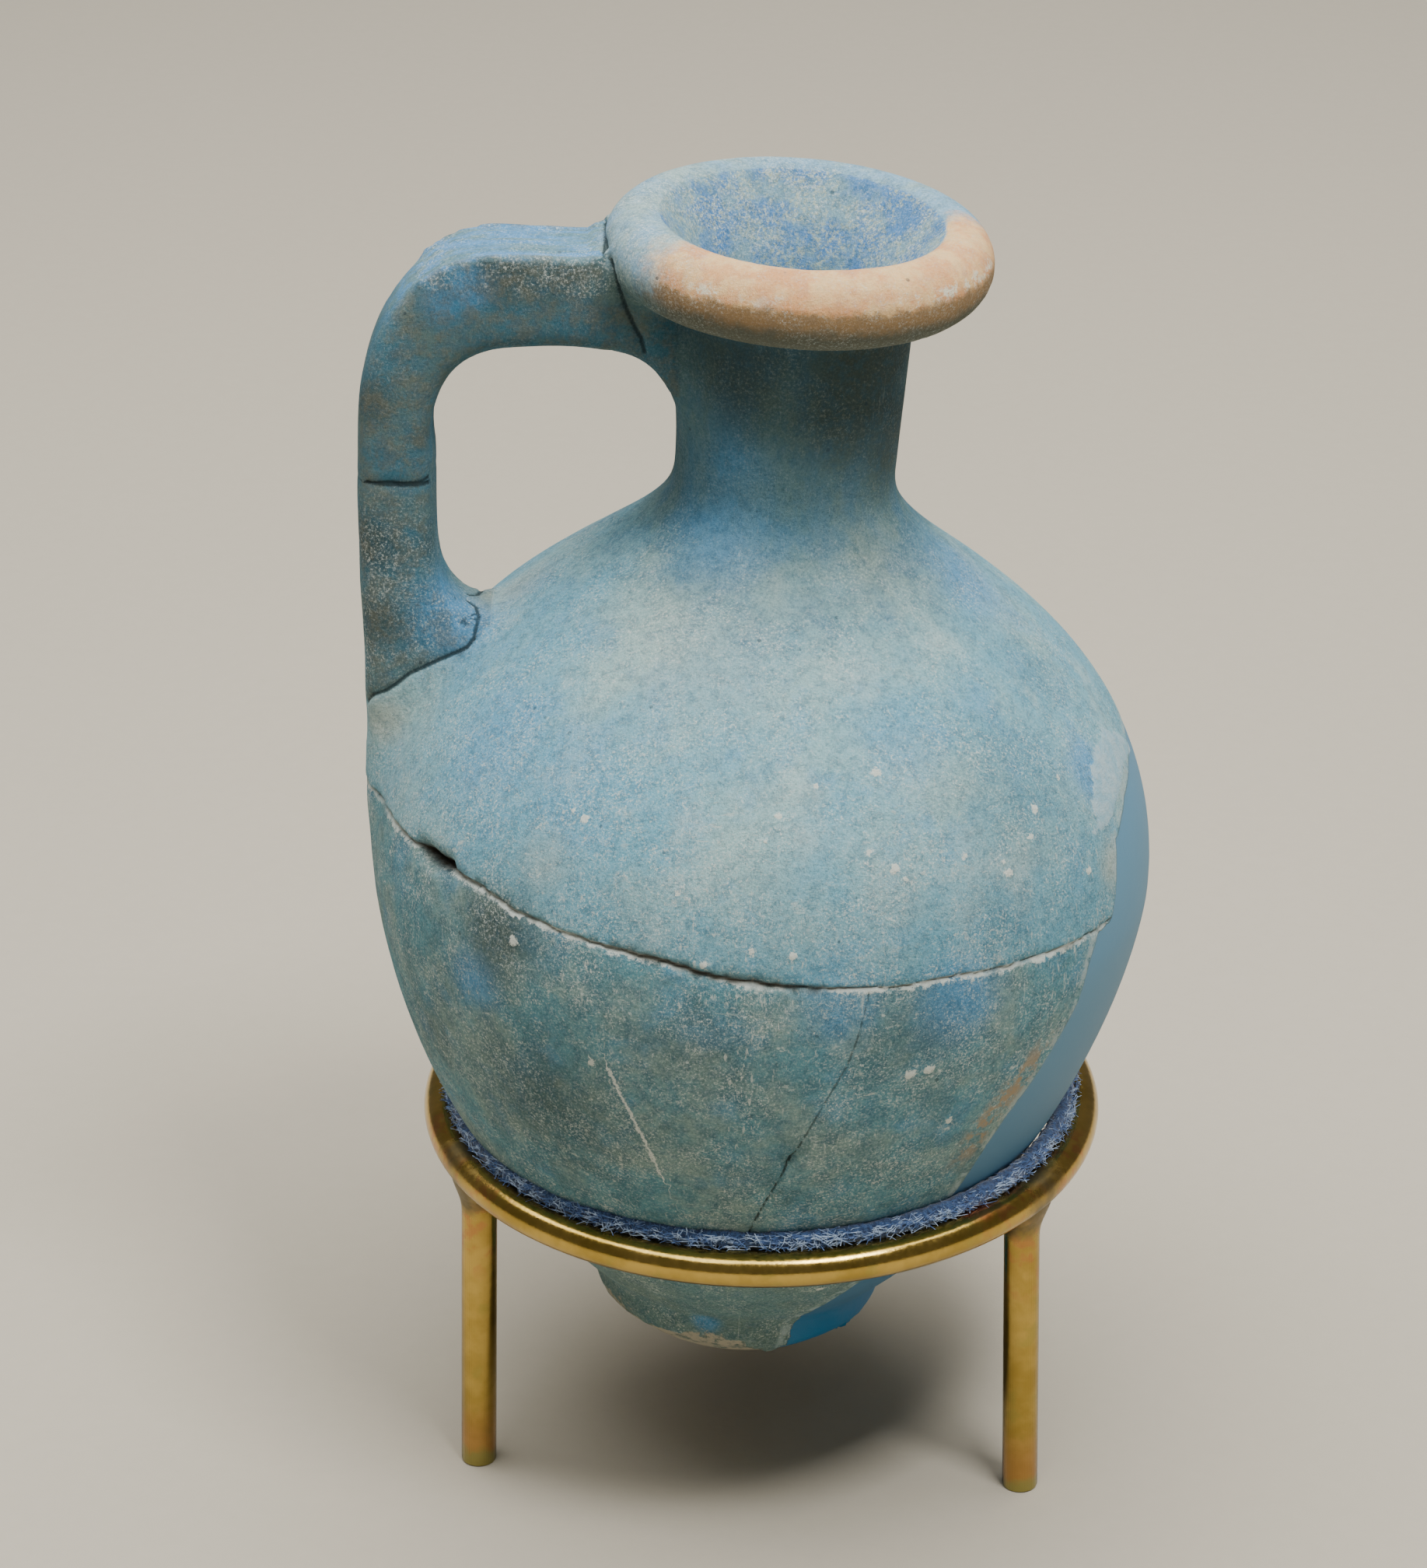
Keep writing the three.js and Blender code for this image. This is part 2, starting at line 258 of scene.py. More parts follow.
def strap_outline():
    """The handle seen from the side, as one closed line of (x, z)."""
    crotch_x = inner - 9.5
    crotch_z = float(np.interp(-crotch_x, [-x for x, z in shoulder_line],
                               [z for x, z in shoulder_line]))
    # up the outer side, from inside the belly's wall to the bend
    root_x = belly_radius + 0.6
    line = [(-(belly_radius - wall), root_height - root_taper - wall)]
    line += curve([(-(belly_radius - 1.2), root_height - root_taper),
                   (-(belly_radius + 0.5), root_height - 3.5), (-root_x, root_height)], 4)
    upright = bend_start - root_height
    line += curve([(-root_x, root_height), (-root_x, root_height + 0.4 * upright),
                   (-handle_reach, bend_start - 0.35 * upright), (-handle_reach, bend_start)], 12)[1:]
    # over the bend, along the top and into the neck
    line += curve([(-handle_reach, bend_start), (-handle_reach, bend_start + 15.2),
                   (-bend_end - 0.62 * (handle_reach - bend_end), bridge_top),
                   (-bend_end, bridge_top)], 14)[1:]
    line += [(-26, bridge_top + 0.1), (-18, bridge_top), (-12.4, under - 2), (-12, under - 9),
             (-neck_radius, under - 9)]
    # back along the underside and down the inner side
    line += curve([(-neck_radius, under - 9), (-neck_radius - 1, under),
                   (-neck_radius - 10, under)], 6)[1:]
    line += [(-27, under + 0.35), (-31, under + 0.3), (-(inner - 11), under)]
    line += curve([(-(inner - 11), under), (-(inner - 4.2), under),
                   (-inner, under - 4.6), (-inner, under - 12)], 7)[1:]
    line += [(-inner - 0.1, 132), (-inner + 0.1, 126.6), (-inner + 0.5, 126), (-inner + 0.8, 118)]
    line += curve([(-inner + 1.0, crotch_z + 9), (-inner + 2, crotch_z - 1.5), (-crotch_x, crotch_z)], 6)
    line += [(-crotch_x + 9.5, crotch_z + 1.5), (-crotch_x + 9.5, root_height - root_taper - wall)]
    return line


handle = draw("handle", strap_outline())
bpy.ops.mesh.select_all(action="SELECT")
bpy.ops.mesh.edge_face_add()
bpy.ops.transform.translate(value=(0, -handle_width / 2 * MM, 0))
bpy.ops.mesh.extrude_region_move(TRANSFORM_OT_translate={"value": (0, handle_width * MM, 0)})
bpy.ops.mesh.select_all(action="SELECT")
bpy.ops.mesh.normals_make_consistent(inside=False)
rest()
sides = np.zeros(len(handle.data.edges), bool)
for edge in handle.data.edges:
    start, end = (handle.data.vertices[i].co.y for i in edge.vertices)
    sides[edge.index] = math.isclose(start, end, abs_tol=0.001 * MM)
pick(handle)
bpy.ops.object.mode_set(mode="EDIT")
bpy.ops.mesh.select_mode(type="EDGE")
bpy.ops.mesh.select_all(action="DESELECT")
bpy.ops.object.mode_set(mode="OBJECT")
handle.data.edges.foreach_set("select", sides)
bpy.ops.object.mode_set(mode="EDIT")
bpy.ops.mesh.bevel(offset=edge_round * MM, segments=4, profile=0.5, clamp_overlap=False)
rest()
print("handle", len(handle.data.vertices), "vertices")

# %% [markdown]
# ## One body of clay
# Body and handle are joined and remeshed into one skin, as clay is luted together. The
# joints are then rubbed smooth with the Smooth operator, which gives soft fillets.

# %% Join and remesh
pick(jug, handle)
bpy.ops.object.join()
VOXEL = 0.93
change(jug, "REMESH", mode="VOXEL", voxel_size=VOXEL * MM, adaptivity=0)
print("one skin", len(jug.data.polygons), "faces")

places = places_of(jug) / MM
x, y, z = places.T
round_axis = np.hypot(x, y)
near_body = np.abs(round_axis - radius_at(z))
near_strap = (x < 0) & (np.abs(y) < 13)
root_joint = near_strap & (near_body < 5.5) & (z > 66) & (z < 108) & (x < -26)
neck_joint = near_strap & (round_axis < 24) & (z > 126) & (z < 149)
strap = near_strap & (round_axis - radius_at(z) > 1.8) & (z > 74) & (x < -16)
strap &= ~((z > 147) & (round_axis < 26))
for joint, rounds in ((root_joint, 26), (neck_joint, 12), (strap, 9)):
    choose(jug, joint)
    bpy.ops.mesh.vertices_smooth(factor=0.5, repeat=rounds)
choose(jug, np.ones(len(jug.data.vertices), bool))
bpy.ops.mesh.vertices_smooth(factor=0.5, repeat=2)
rest()

# %% [markdown]
# ## The hollow
# The inside follows the outside at the wall's thickness. Its shape is spun as a second
# form and cut out of the clay with a Boolean modifier.

# %% Cut the hollow
inside = []
for (x0, z0), (x1, z1), (x2, z2) in zip(body_line, body_line[1:], body_line[2:]):
    along = Vector((x2 - x0, z2 - z0)).normalized()
    inside.append((x1 - along.y * wall, z1 + along.x * wall))
inside = [p for p in inside if p[1] > floor_height + 2 and p[0] > bore_radius]
inside = curve([(0, floor_height), (inside[0][0] * 0.6, floor_height), inside[0]], 5) + inside[1::2]
inside += [(bore_radius, inside[-1][1] + 2), (bore_radius, bore_top + 0.6), (0, bore_top + 0.6)]
hollow = spin(draw("hollow", inside), 90)
change(jug, "BOOLEAN", object=hollow, operation="DIFFERENCE", solver="MANIFOLD")
bpy.data.objects.remove(hollow)
print("hollow jug", len(jug.data.polygons), "faces")

# %% [markdown]
# ## Where the joins run
# The jug was broken and put together again. Each join is a line of (height, turn): the
# height above the ring's plane in millimetres, and degrees round the axis from the front,
# with plus to the right. A distance to each line, kept on the mesh, later guides both the
# grooves and the colours.

# %% Distance to a join
RING = 33  # heights on a line are from the ring's plane, this far above the jug's base


def from_line(height, turn, radius, line, closed=False):
    """Signed distance in millimetres to a line on the jug; plus is on its left, or inside it."""
    marks = np.array([(h + RING, np.radians(t)) for h, t in line])
    if closed:
        marks = np.vstack([marks, marks[:1]])
    best = np.full(len(height), 1e9)
    side = np.zeros(len(height))
    inside_it = np.zeros(len(height), bool)
    for (h0, t0), (h1, t1) in zip(marks, marks[1:]):
        dx, dy = (t1 - t0) * radius, h1 - h0
        px, py = (turn - t0) * radius, height - h0
        share = np.clip((px * dx + py * dy) / np.maximum(dx * dx + dy * dy, 1e-9), 0, 1)
        away = np.hypot(px - share * dx, py - share * dy)
        nearer = away < best
        best = np.where(nearer, away, best)
        side = np.where(nearer, np.sign(dx * py - dy * px), side)
        if closed:
            crossing = (h0 > height) != (h1 > height)
            with np.errstate(divide="ignore", invalid="ignore"):
                at = t0 + (height - h0) / (h1 - h0) * (t1 - t0)
            inside_it ^= crossing & (turn < at)
    return np.where(inside_it, best, -best) if closed else best * side


def jug_coordinates(piece):
    across, back, up = (places_of(piece) / MM).T
    return across, back, up, np.hypot(across, back), np.arctan2(across, -back)


# %% [markdown]
# A point of the photograph is put on the jug by its line of sight, so that the joins lie
# where they show. Where the jug itself hides a join, its line goes on by guess.

# %% Put points of the photograph on the jug
lean = (math.radians(3.1), math.radians(1.43))  # right, back
jug_axis = Vector((math.sin(lean[0]), math.sin(lean[1]), 1)).normalized()
seat_height = 32.83 * MM
off_centre = Vector((-2.36, -0.6, 0))  # where the leaning axis crosses the ring's plane
jug_base = ring_centre + off_centre * MM - jug_axis * seat_height
jug_turn = Vector((0, 0, 1)).rotation_difference(jug_axis).to_matrix().to_4x4()
jug_place = Matrix.Translation(jug_base) @ jug_turn
to_jug = jug_place.inverted()
jug_surface = BVHTree.FromPolygons([v.co.copy() for v in jug.data.vertices],
                                   [tuple(p.vertices) for p in jug.data.polygons])


def on_jug(pixels):
    """Where the lines of sight meet the jug. One that passes it by is left out."""
    found = []
    start = to_jug @ camera_place
    for across, down in pixels:
        sight = (to_jug.to_3x3() @ line_of_sight(across, down)).normalized()
        hit = jug_surface.ray_cast(start, sight)[0]
        if hit is not None:
            found.append(hit)
    return found


FAR = 99.0


def near_path(places, path, width):
    """Distance in millimetres to a path of points, or FAR where it's more than width away."""
    away = np.full(len(places), FAR)
    for a, b in zip(path, path[1:]):
        a, b = np.array(a), np.array(b)
        d = b - a
        share = np.clip((places - a) @ d / max(d @ d, 1e-12), 0, 1)
        away = np.minimum(away, np.linalg.norm(places - (a + share[:, None] * d), axis=1) / MM)
    return np.where(away > width, FAR, away)


def seen(*pixels):
    """Points of the photograph as (height, turn) on the jug."""
    return [(p.z / MM - RING, math.degrees(math.atan2(p.x, -p.y))) for p in on_jug(pixels)]


long_join = [(46.8, -180), (48.2, -160), (46, -140), (47.5, -120), (45.6, -100)]
long_join += seen((500, 1043), (520, 1072), (535, 1085), (560, 1108), (580, 1116), (620, 1140),
                  (660, 1170), (700, 1187), (740, 1204), (800, 1222), (860, 1238), (920, 1258),
                  (980, 1267), (1040, 1270), (1100, 1272), (1160, 1268), (1220, 1256),
                  (1290, 1243), (1340, 1228), (1390, 1207), (1410, 1197))
long_join += [(42.7, 61), (43, 150), (46.8, 180)]
down_join = seen((1118, 1275), (1105, 1330), (1090, 1370), (1060, 1420), (1018, 1490),
                 (1000, 1520), (970, 1570), (955, 1600)) + [(-8, -3)]
fill_edge = seen((1450, 960)) + [(54.8, 72)] + seen((1435, 1080)) + [(46, 61.6)]
fill_edge += seen((1430, 1180), (1412, 1200), (1400, 1240), (1385, 1290), (1352, 1350),
                  (1320, 1400), (1290, 1440), (1270, 1470), (1250, 1500), (1230, 1530))
fill_edge += [(-3, 37), (-12, 31), (-20, 25), (-24, 21), (-34, 19), (-34, 128), (-10, 133),
              (12, 139), (30, 136), (44, 141), (52, 133), (57, 118), (58.5, 100)]
pale_flake = seen((1405, 1030), (1410, 1065), (1400, 1075), (1425, 1060), (1440, 1010),
                  (1445, 980), (1455, 960), (1440, 945)) + [(62.5, 76), (61.5, 66)]
scratch_line = seen((783, 1375), (795, 1400), (820, 1450), (840, 1490), (850, 1510))
print("points on the joins", len(long_join), len(down_join), "round the fill", len(fill_edge),
      "and the flake", len(pale_flake), "on the scratch", len(scratch_line))

root_join = on_jug([(472, 902), (480, 893), (497, 888), (512, 878), (527, 866), (545, 858),
                    (566, 848), (584, 840), (600, 832), (609, 820), (612, 806), (616, 792),
                    (612, 779), (602, 772)])
root_forks = [on_jug([(590, 800), (602, 792), (614, 787)]),
              on_jug([(594, 806), (606, 797), (616, 792)])]
grip_join = on_jug([(459, 616), (478, 621), (500, 620), (520, 622), (540, 620), (552, 613)])
lip_join = on_jug([(775, 290), (776, 310), (783, 335), (789, 355), (795, 375), (803, 395),
                   (815, 420), (825, 438), (828, 455)])
root_behind = [Vector((p.x, -p.y, p.z)) for p in root_join]
lip_behind = [Vector((p.x, -p.y, p.z)) for p in lip_join]
print("marks on the handle", len(root_join), len(grip_join), len(lip_join))

# %% [markdown]
# Stains, and spots of painted light and painted shade, are placed the same way. Each is a point
# of the photograph, its radius in millimetres and its strength. A white mark is only a point and
# a radius. The back has none of these, only the mottling.

# %% Stains, marks, and spots of painted light and shade
blue_stains = [(903, 1700, 2, 1.0), (606, 368, 3, 1.0), (585, 790, 7, 0.8), (570, 385, 4, 0.6),
               (1245, 745, 9, 0.7), (945, 600, 7, 0.45), (930, 690, 10, 0.5), (640, 960, 12, 0.5),
               (720, 1000, 12, 0.4), (1160, 960, 9, 0.4), (1230, 1290, 7, 0.8),
               (1400, 990, 5, 0.9), (1080, 1290, 8, 0.5), (610, 1260, 5, 0.7), (690, 740, 5, 0.4)]
# grime and dark smears; the broad spots down the right of the belly are painted shade
grime_and_painted_shade = [(1300, 1020, 16, 0.45), (1000, 405, 3, 1.0), (1015, 412, 2, 0.8), (640, 1195, 8, 0.8),
         (1145, 560, 9, 0.9), (560, 335, 5, 0.8), (650, 335, 6, 0.9), (725, 338, 5, 0.8),
         (478, 430, 4, 0.8), (474, 520, 4, 0.8), (480, 700, 5, 0.9), (488, 800, 5, 0.8),
         (545, 560, 3, 0.5), (548, 700, 3, 0.6), (770, 400, 4, 0.6), (700, 1420, 13, 0.6),
         (560, 1330, 8, 0.5), (1110, 520, 11, 1.0), (1130, 460, 11, 1.0), (950, 490, 9, 0.7),
         (1180, 1330, 10, 0.5), (1330, 860, 9, 0.4), (900, 1350, 9, 0.4), (1290, 1180, 8, 0.4),
         (700, 360, 5, 0.6), (500, 380, 4, 0.6), (800, 1180, 7, 0.3)]
# cream bloom; the broad spots on the middle of the shoulder are painted light where it faces the lamp
cream_and_painted_light = [(655, 760, 7, 0.6), (910, 850, 16, 0.5), (1120, 740, 14, 0.35), (1000, 780, 12, 0.35),
         (830, 930, 9, 0.3), (740, 620, 5, 0.4), (980, 1010, 9, 0.3), (1150, 1150, 7, 0.4),
         (700, 1110, 6, 0.5), (495, 925, 4, 0.8), (1430, 1110, 4, 0.8)]
white_marks = [(1127, 993, 0.8), (1150, 1117, 0.9), (1118, 1097, 0.6), (752, 1052, 0.8),
               (738, 1042, 0.5), (1298, 1122, 0.9), (1290, 1108, 0.5), (1000, 1050, 0.6),
               (985, 1083, 0.5), (1170, 1382, 1.1), (1195, 1375, 0.9), (966, 1222, 0.7),
               (1020, 1230, 0.7), (1165, 1130, 0.5), (1240, 1100, 0.6), (1330, 1040, 0.8),
               (1325, 1075, 0.7), (1400, 1120, 0.8), (905, 1240, 0.7), (660, 1210, 1.0),
               (1030, 1648, 1.2), (1052, 1656, 0.8), (1050, 1010, 0.5), (870, 1150, 0.5),
               (1220, 1440, 0.7), (760, 1365, 0.8), (1360, 1000, 0.6)]


def spotted(places, stains):
    """How strongly each place is marked by the spots, from 0 to 1."""
    amount = np.zeros(len(places))
    for across, down, size, strength in stains:
        for spot in on_jug([(across, down)]):
            away = np.linalg.norm(places - np.array(spot), axis=1) / (size * MM)
            amount = np.maximum(amount, strength * np.exp(-away ** 2))
    return amount


# %% [markdown]
# ## Finer clay along the joins
# A groove a third of a millimetre wide needs small faces, so only the faces near a join
# are subdivided.

# %% Refine along the joins
SKIN_IN, SKIN_OUT, BELLY_TOP = 2, 1.2, 112  # how far the body's outer skin reaches
across, back, up, out, turn = jug_coordinates(jug)
outer = (out > radius_at(up) - SKIN_IN) & (out < radius_at(up) + SKIN_OUT)
on_front = outer & (up < BELLY_TOP) & (np.abs(np.degrees(turn)) < 100)


def beside(line, width, closed=False):
    return np.abs(from_line(up, turn, out, line, closed)) < width


band = on_front & (beside(long_join, 1.1) | beside(scratch_line, 0.7) | beside(down_join, 0.9)
                   | (beside(fill_edge, 0.8, closed=True) & (up > 28)))
points = places_of(jug)
for path in (root_join, root_behind, grip_join, lip_join, lip_behind):
    band |= near_path(points, path, 1.2) < FAR
for mark_across, mark_down, size in white_marks:
    for spot in on_jug([(mark_across, mark_down)]):
        band |= np.linalg.norm(points - np.array(spot), axis=1) < (size + 0.4) * MM
choose(jug, band)
bpy.ops.mesh.select_mode(type="FACE")
bpy.ops.mesh.subdivide(number_cuts=2, quadcorner="INNERVERT")
rest()
print("refined to", len(jug.data.vertices), "vertices")

# %% [markdown]
# ## Shape the wear
# Each mark is a small push of the surface: grooves along the joins, the upper sherd a
# little proud, the chipped foot, the ridges on the strap, and the dents of the maker's
# hand everywhere.

# %% Measure how far each vertex is from each mark
across, back, up, out, turn = jug_coordinates(jug)
points = places_of(jug)
normals = directions_of(jug)
degrees = np.degrees(turn)
surface = radius_at(up)
outer = (out > surface - SKIN_IN) & (out < surface + SKIN_OUT) & (up < lip_bottom)
on_belly = (out > surface - SKIN_IN) & (out < surface + np.where(up < 88, 3, SKIN_OUT))
on_belly &= up < BELLY_TOP
on_strap = (across < 0) & (np.abs(back) < 9.5) & (out > surface + SKIN_OUT) & (out > 15.5)
on_strap &= (up > 68) & (up < 155) & ~((up > lip_bottom - 1) & (out < lip_radius + 0.6))
on_lip = (up > lip_bottom - 1) & (out > 15) & ~on_strap
on_foot = outer & (up < 12)


def to_line(line, closed=False):
    """Distance to a line on the belly. It's far off everywhere else."""
    away = from_line(up, turn, out, line, closed)
    return np.where(on_belly, away, -FAR if closed else FAR)


def to_path(*paths, reach=6):
    return np.minimum.reduce([near_path(points, path, reach) for path in paths])


to_long, to_down, to_scratch = to_line(long_join), to_line(down_join), to_line(scratch_line)
to_fill, to_flake = to_line(fill_edge, closed=True), to_line(pale_flake, closed=True)
to_lip, to_grip = to_path(lip_join, lip_behind), to_path(grip_join)
to_root = np.minimum(to_path(root_join, root_behind), to_path(*root_forks, reach=3) + 0.12)
grip_height = 122.6
round_grip = on_strap & (np.abs(up - grip_height) < 1.6)
to_grip = np.where(round_grip, np.minimum(to_grip, np.abs(up - grip_height)), to_grip)
print("on the belly", on_belly.sum(), "on the strap", on_strap.sum(), "on the rim", on_lip.sum())


# %% Sculpt the long join
def dent(distance, width, power=2):
    """1 at no distance, falling to nothing over about the width."""
    return np.exp(-(distance / width) ** power)


join_depth, gap_depth, hole_depth, proud = 0.35, 0.45, 2.2, 0.22
hole_turn, gap_turn, gap_by_hole = -56.5, -8, -55
small, mid, broad = wander(points, 1.1, 3.1), wander(points, 5, 5.5), wander(points, 17, 1.3)
in_fill = soft(to_fill, -0.3, 0.5)
old_clay = 1 - soft(to_fill, -0.2, 0.4)

push = 0.10 * broad + 0.035 * mid * (1 - in_fill)
groove = np.abs(to_long + 0.22 * small + 0.3 * wander(points, 3.2, 19.0))
gaping = dent(degrees - gap_turn, 15, 4) + 0.6 * dent(degrees - gap_by_hole, 12)
gaping = np.clip(gaping, 0, 1)
groove_width = 0.2 + 0.1 * np.clip(wander(points, 9, 11.0), -0.4, 1) + 0.3 * gaping
push -= old_clay * (join_depth + gap_depth * gaping) * dent(groove, groove_width)
above = soft(to_long, -0.1, 0.3) * np.exp(-np.clip(to_long, 0, 30) / 7)
push += old_clay * proud * above * soft(-degrees, -60, 70)
hole = dent(degrees - hole_turn, 4.6, 4) * dent(to_long - 0.2, 1.0)
push -= hole_depth * hole

# %% Sculpt the other joins, the fill and the white marks
down_depth, down_deeper, nick_depth, nick_height = 0.10, 0.18, 0.8, RING + 17
fill_depth, root_depth, grip_depth, lip_join_depth = 0.12, 0.35, 0.25, 0.5
flake_height, mark_height = 0.12, 0.10
faint = down_depth + down_deeper * soft(-up, -RING - 22, -RING - 12)
push -= old_clay * (up > 30) * faint * dent(to_down + 0.15 * small, 0.22)
push -= nick_depth * dent(to_down, 0.6) * dent(up - nick_height, 1.3)
push -= fill_depth * in_fill * (up > 20)
push -= root_depth * dent(to_root, 0.4) + grip_depth * dent(to_grip, 0.26)
push -= lip_join_depth * dent(to_lip + 0.2 * small, 0.5)
push += flake_height * soft(to_flake, -0.2, 0.25)
marks = spotted(points, [(a, d, size * 0.85, 1.0) for a, d, size in white_marks])
push += mark_height * soft(marks + 0.25 * small, 0.35, 0.6)

# %% Sculpt the strap, the foot and the rim
ridge_height, ridge_step, strap_dent, strap_wave = 0.16, 3.1, 0.2, 0.10
chip_depth, rim_dent = 0.9, 0.14
ridge_there = on_strap * soft(normals[:, 2], 0.45, 0.95) * soft(up, 138, 150) * soft(out, 24, 30)
push += ridge_there * ridge_height * np.cos(back * 2 * math.pi / ridge_step + 0.25 * mid)
push -= on_strap * strap_dent * np.clip(wander(points, 2.4, 17.0) - 0.25, 0, 1)
push += on_strap * strap_wave * wander(points, 7, 23.0)
chip = soft(wander(points, 5.5, 31.0) + 0.35 * small + (6.2 - up) * 0.14, -0.05, 0.3)
push -= on_foot * chip_depth * chip * soft(-up, -6, -2.5)
push -= on_lip * rim_dent * np.clip(wander(points, 2.0, 41.0) - 0.3, 0, 1) * soft(-back, 2, 12)
print("deepest push", round(float(push.min()), 2), "mm, highest", round(float(push.max()), 2))
points_upright = points.copy()
set_places(jug, points + normals * (push * MM)[:, None])

# %% [markdown]
# The foot was thrown a little off the axis and the rim tips slightly back, so the lowest
# part slides sideways and everything above the neck turns a degree or two.

# %% Lean the foot and the rim
rim_back, rim_side, strap_starts = math.radians(2), math.radians(1), -26
points = places_of(jug)
height = points[:, 2] / MM
points[:, 0] += foot_drift * MM * np.clip(1 - height / belly_height, 0, 1) ** 3
tip = Matrix.Rotation(rim_back, 3, "X") @ Matrix.Rotation(rim_side, 3, "Y")
pivot = np.array([0, 0, lip_bottom * MM])
turned = (points - pivot) @ np.array(tip).T + pivot
share = soft(height, lip_bottom - 9, lip_bottom + 1)[:, None]
share = share * (points[:, :1] > strap_starts * MM)
points = points * (1 - share) + turned * share
set_places(jug, points)

# %% [markdown]
# ## What the colours follow
# The finish is made of zones that run into each other: pale shoulder, teal belly, dark neck,
# blue mouth, tan rim. The dark of the neck, the strap's sides and the rim's underside is partly
# painted shade, and the strap's top partly painted light. Each zone is a number on the mesh.
# The material breaks up their borders with noise, so they stay crisp at any distance.

# %% Work out the zones
inner_wall = (out < surface - SKIN_IN) & (up < bore_top + 3)
funnel = np.interp(up, [144, 149, 155.5, 156.5], [13, 16, 17, 17.9])
facing_out = (normals[:, 0] * across + normals[:, 1] * back) / np.maximum(out, 1)
mouth = soft(funnel - out, -0.5, 0.5) * (up > 143.5) * (facing_out < 0.4)
lip_turn = np.degrees(np.arctan2(out - roll_x, up - roll_z))  # 0 on top of the rim, 90 outwards
worn = on_lip * (1 - mouth) * soft(degrees, -72, -30) * soft(-degrees, -116, -84)
join_places = np.array(sorted((p.x / MM, p.z / MM) for p in root_join))
above_join = up - np.interp(across, join_places[:, 0], join_places[:, 1])
join_end = join_places[-1, 0]
strap_zone = on_strap * soft(above_join, -0.3, 0.5) * soft(-across, -join_end - 0.6, -join_end + 0.2)
strap_zone = np.where(up > 100, on_strap, strap_zone)
# the strap's up-facing top, which the material paints lighter as lit from above
lit_top_of_strap = on_strap * soft(normals[:, 2], 0.25, 0.8) * soft(up, 132, 148)
dark = dent(groove, 0.2 + 0.2 * gaping) * (0.55 + 0.45 * gaping)

# %% Keep the zones on the mesh
zones = {
    "to_long_join": np.clip(to_long, -30, 30),
    "to_down_join": np.clip(np.where(up > 30, np.abs(to_down), FAR), 0, 30),
    "to_fill": np.clip(to_fill, -30, 30),
    "to_flake": np.clip(to_flake, -10, 10),
    "to_scratch": np.clip(to_scratch, -10, 10),
    "to_seams": np.minimum.reduce([to_root, to_grip, to_lip]),
    "groove": np.clip(dark * old_clay * on_belly + hole, 0, 1),
    "chipped_foot": (on_foot | (up < 3)) * np.clip(chip * soft(-up, -10, -4), 0, 1),
    "blue_stain": spotted(points_upright, blue_stains),
    "grime_and_painted_shade": spotted(points_upright, grime_and_painted_shade),
    "cream_and_painted_light": spotted(points_upright, cream_and_painted_light),
    "white_mark": marks,
    "worn_rim": worn,
    "round_rim": lip_turn,
    "rim": on_lip * 1.0,
    "mouth": mouth,
    "inner_wall": inner_wall * 1.0,
    "strap": strap_zone,
    "lit_strap_top": lit_top_of_strap,
    "strap_across": back,
    "height": up,
}
for name, values in zones.items():
    note(jug, name, values)
print(len(zones), "zones kept on the mesh")

# %% Lean the jug into the ring
jug.data.transform(jug_place)
for polygon in jug.data.polygons:
    polygon.use_smooth = True
pick(jug)
bpy.ops.object.shade_smooth_by_angle(angle=math.radians(50))
print("jug", sum(len(p.vertices) - 2 for p in jug.data.polygons), "triangles")

# %% [markdown]
# ## Mixing finishes
# A material is a small tree of nodes. This class only saves typing: each call adds one
# node and returns its output, so that a finish reads like a recipe.

# %% Recipe helper
def paint(red, green, blue):
    """A colour from 0 to 255 as a screen shows it, made linear for the shader."""
    one = lambda v: v / 255 / 12.92 if v <= 10 else ((v / 255 + 0.055) / 1.055) ** 2.4
    return (one(red), one(green), one(blue), 1)


SLANT = (0.3, 0.5, 0.2)  # a stretched pattern is turned, so that it follows no axis


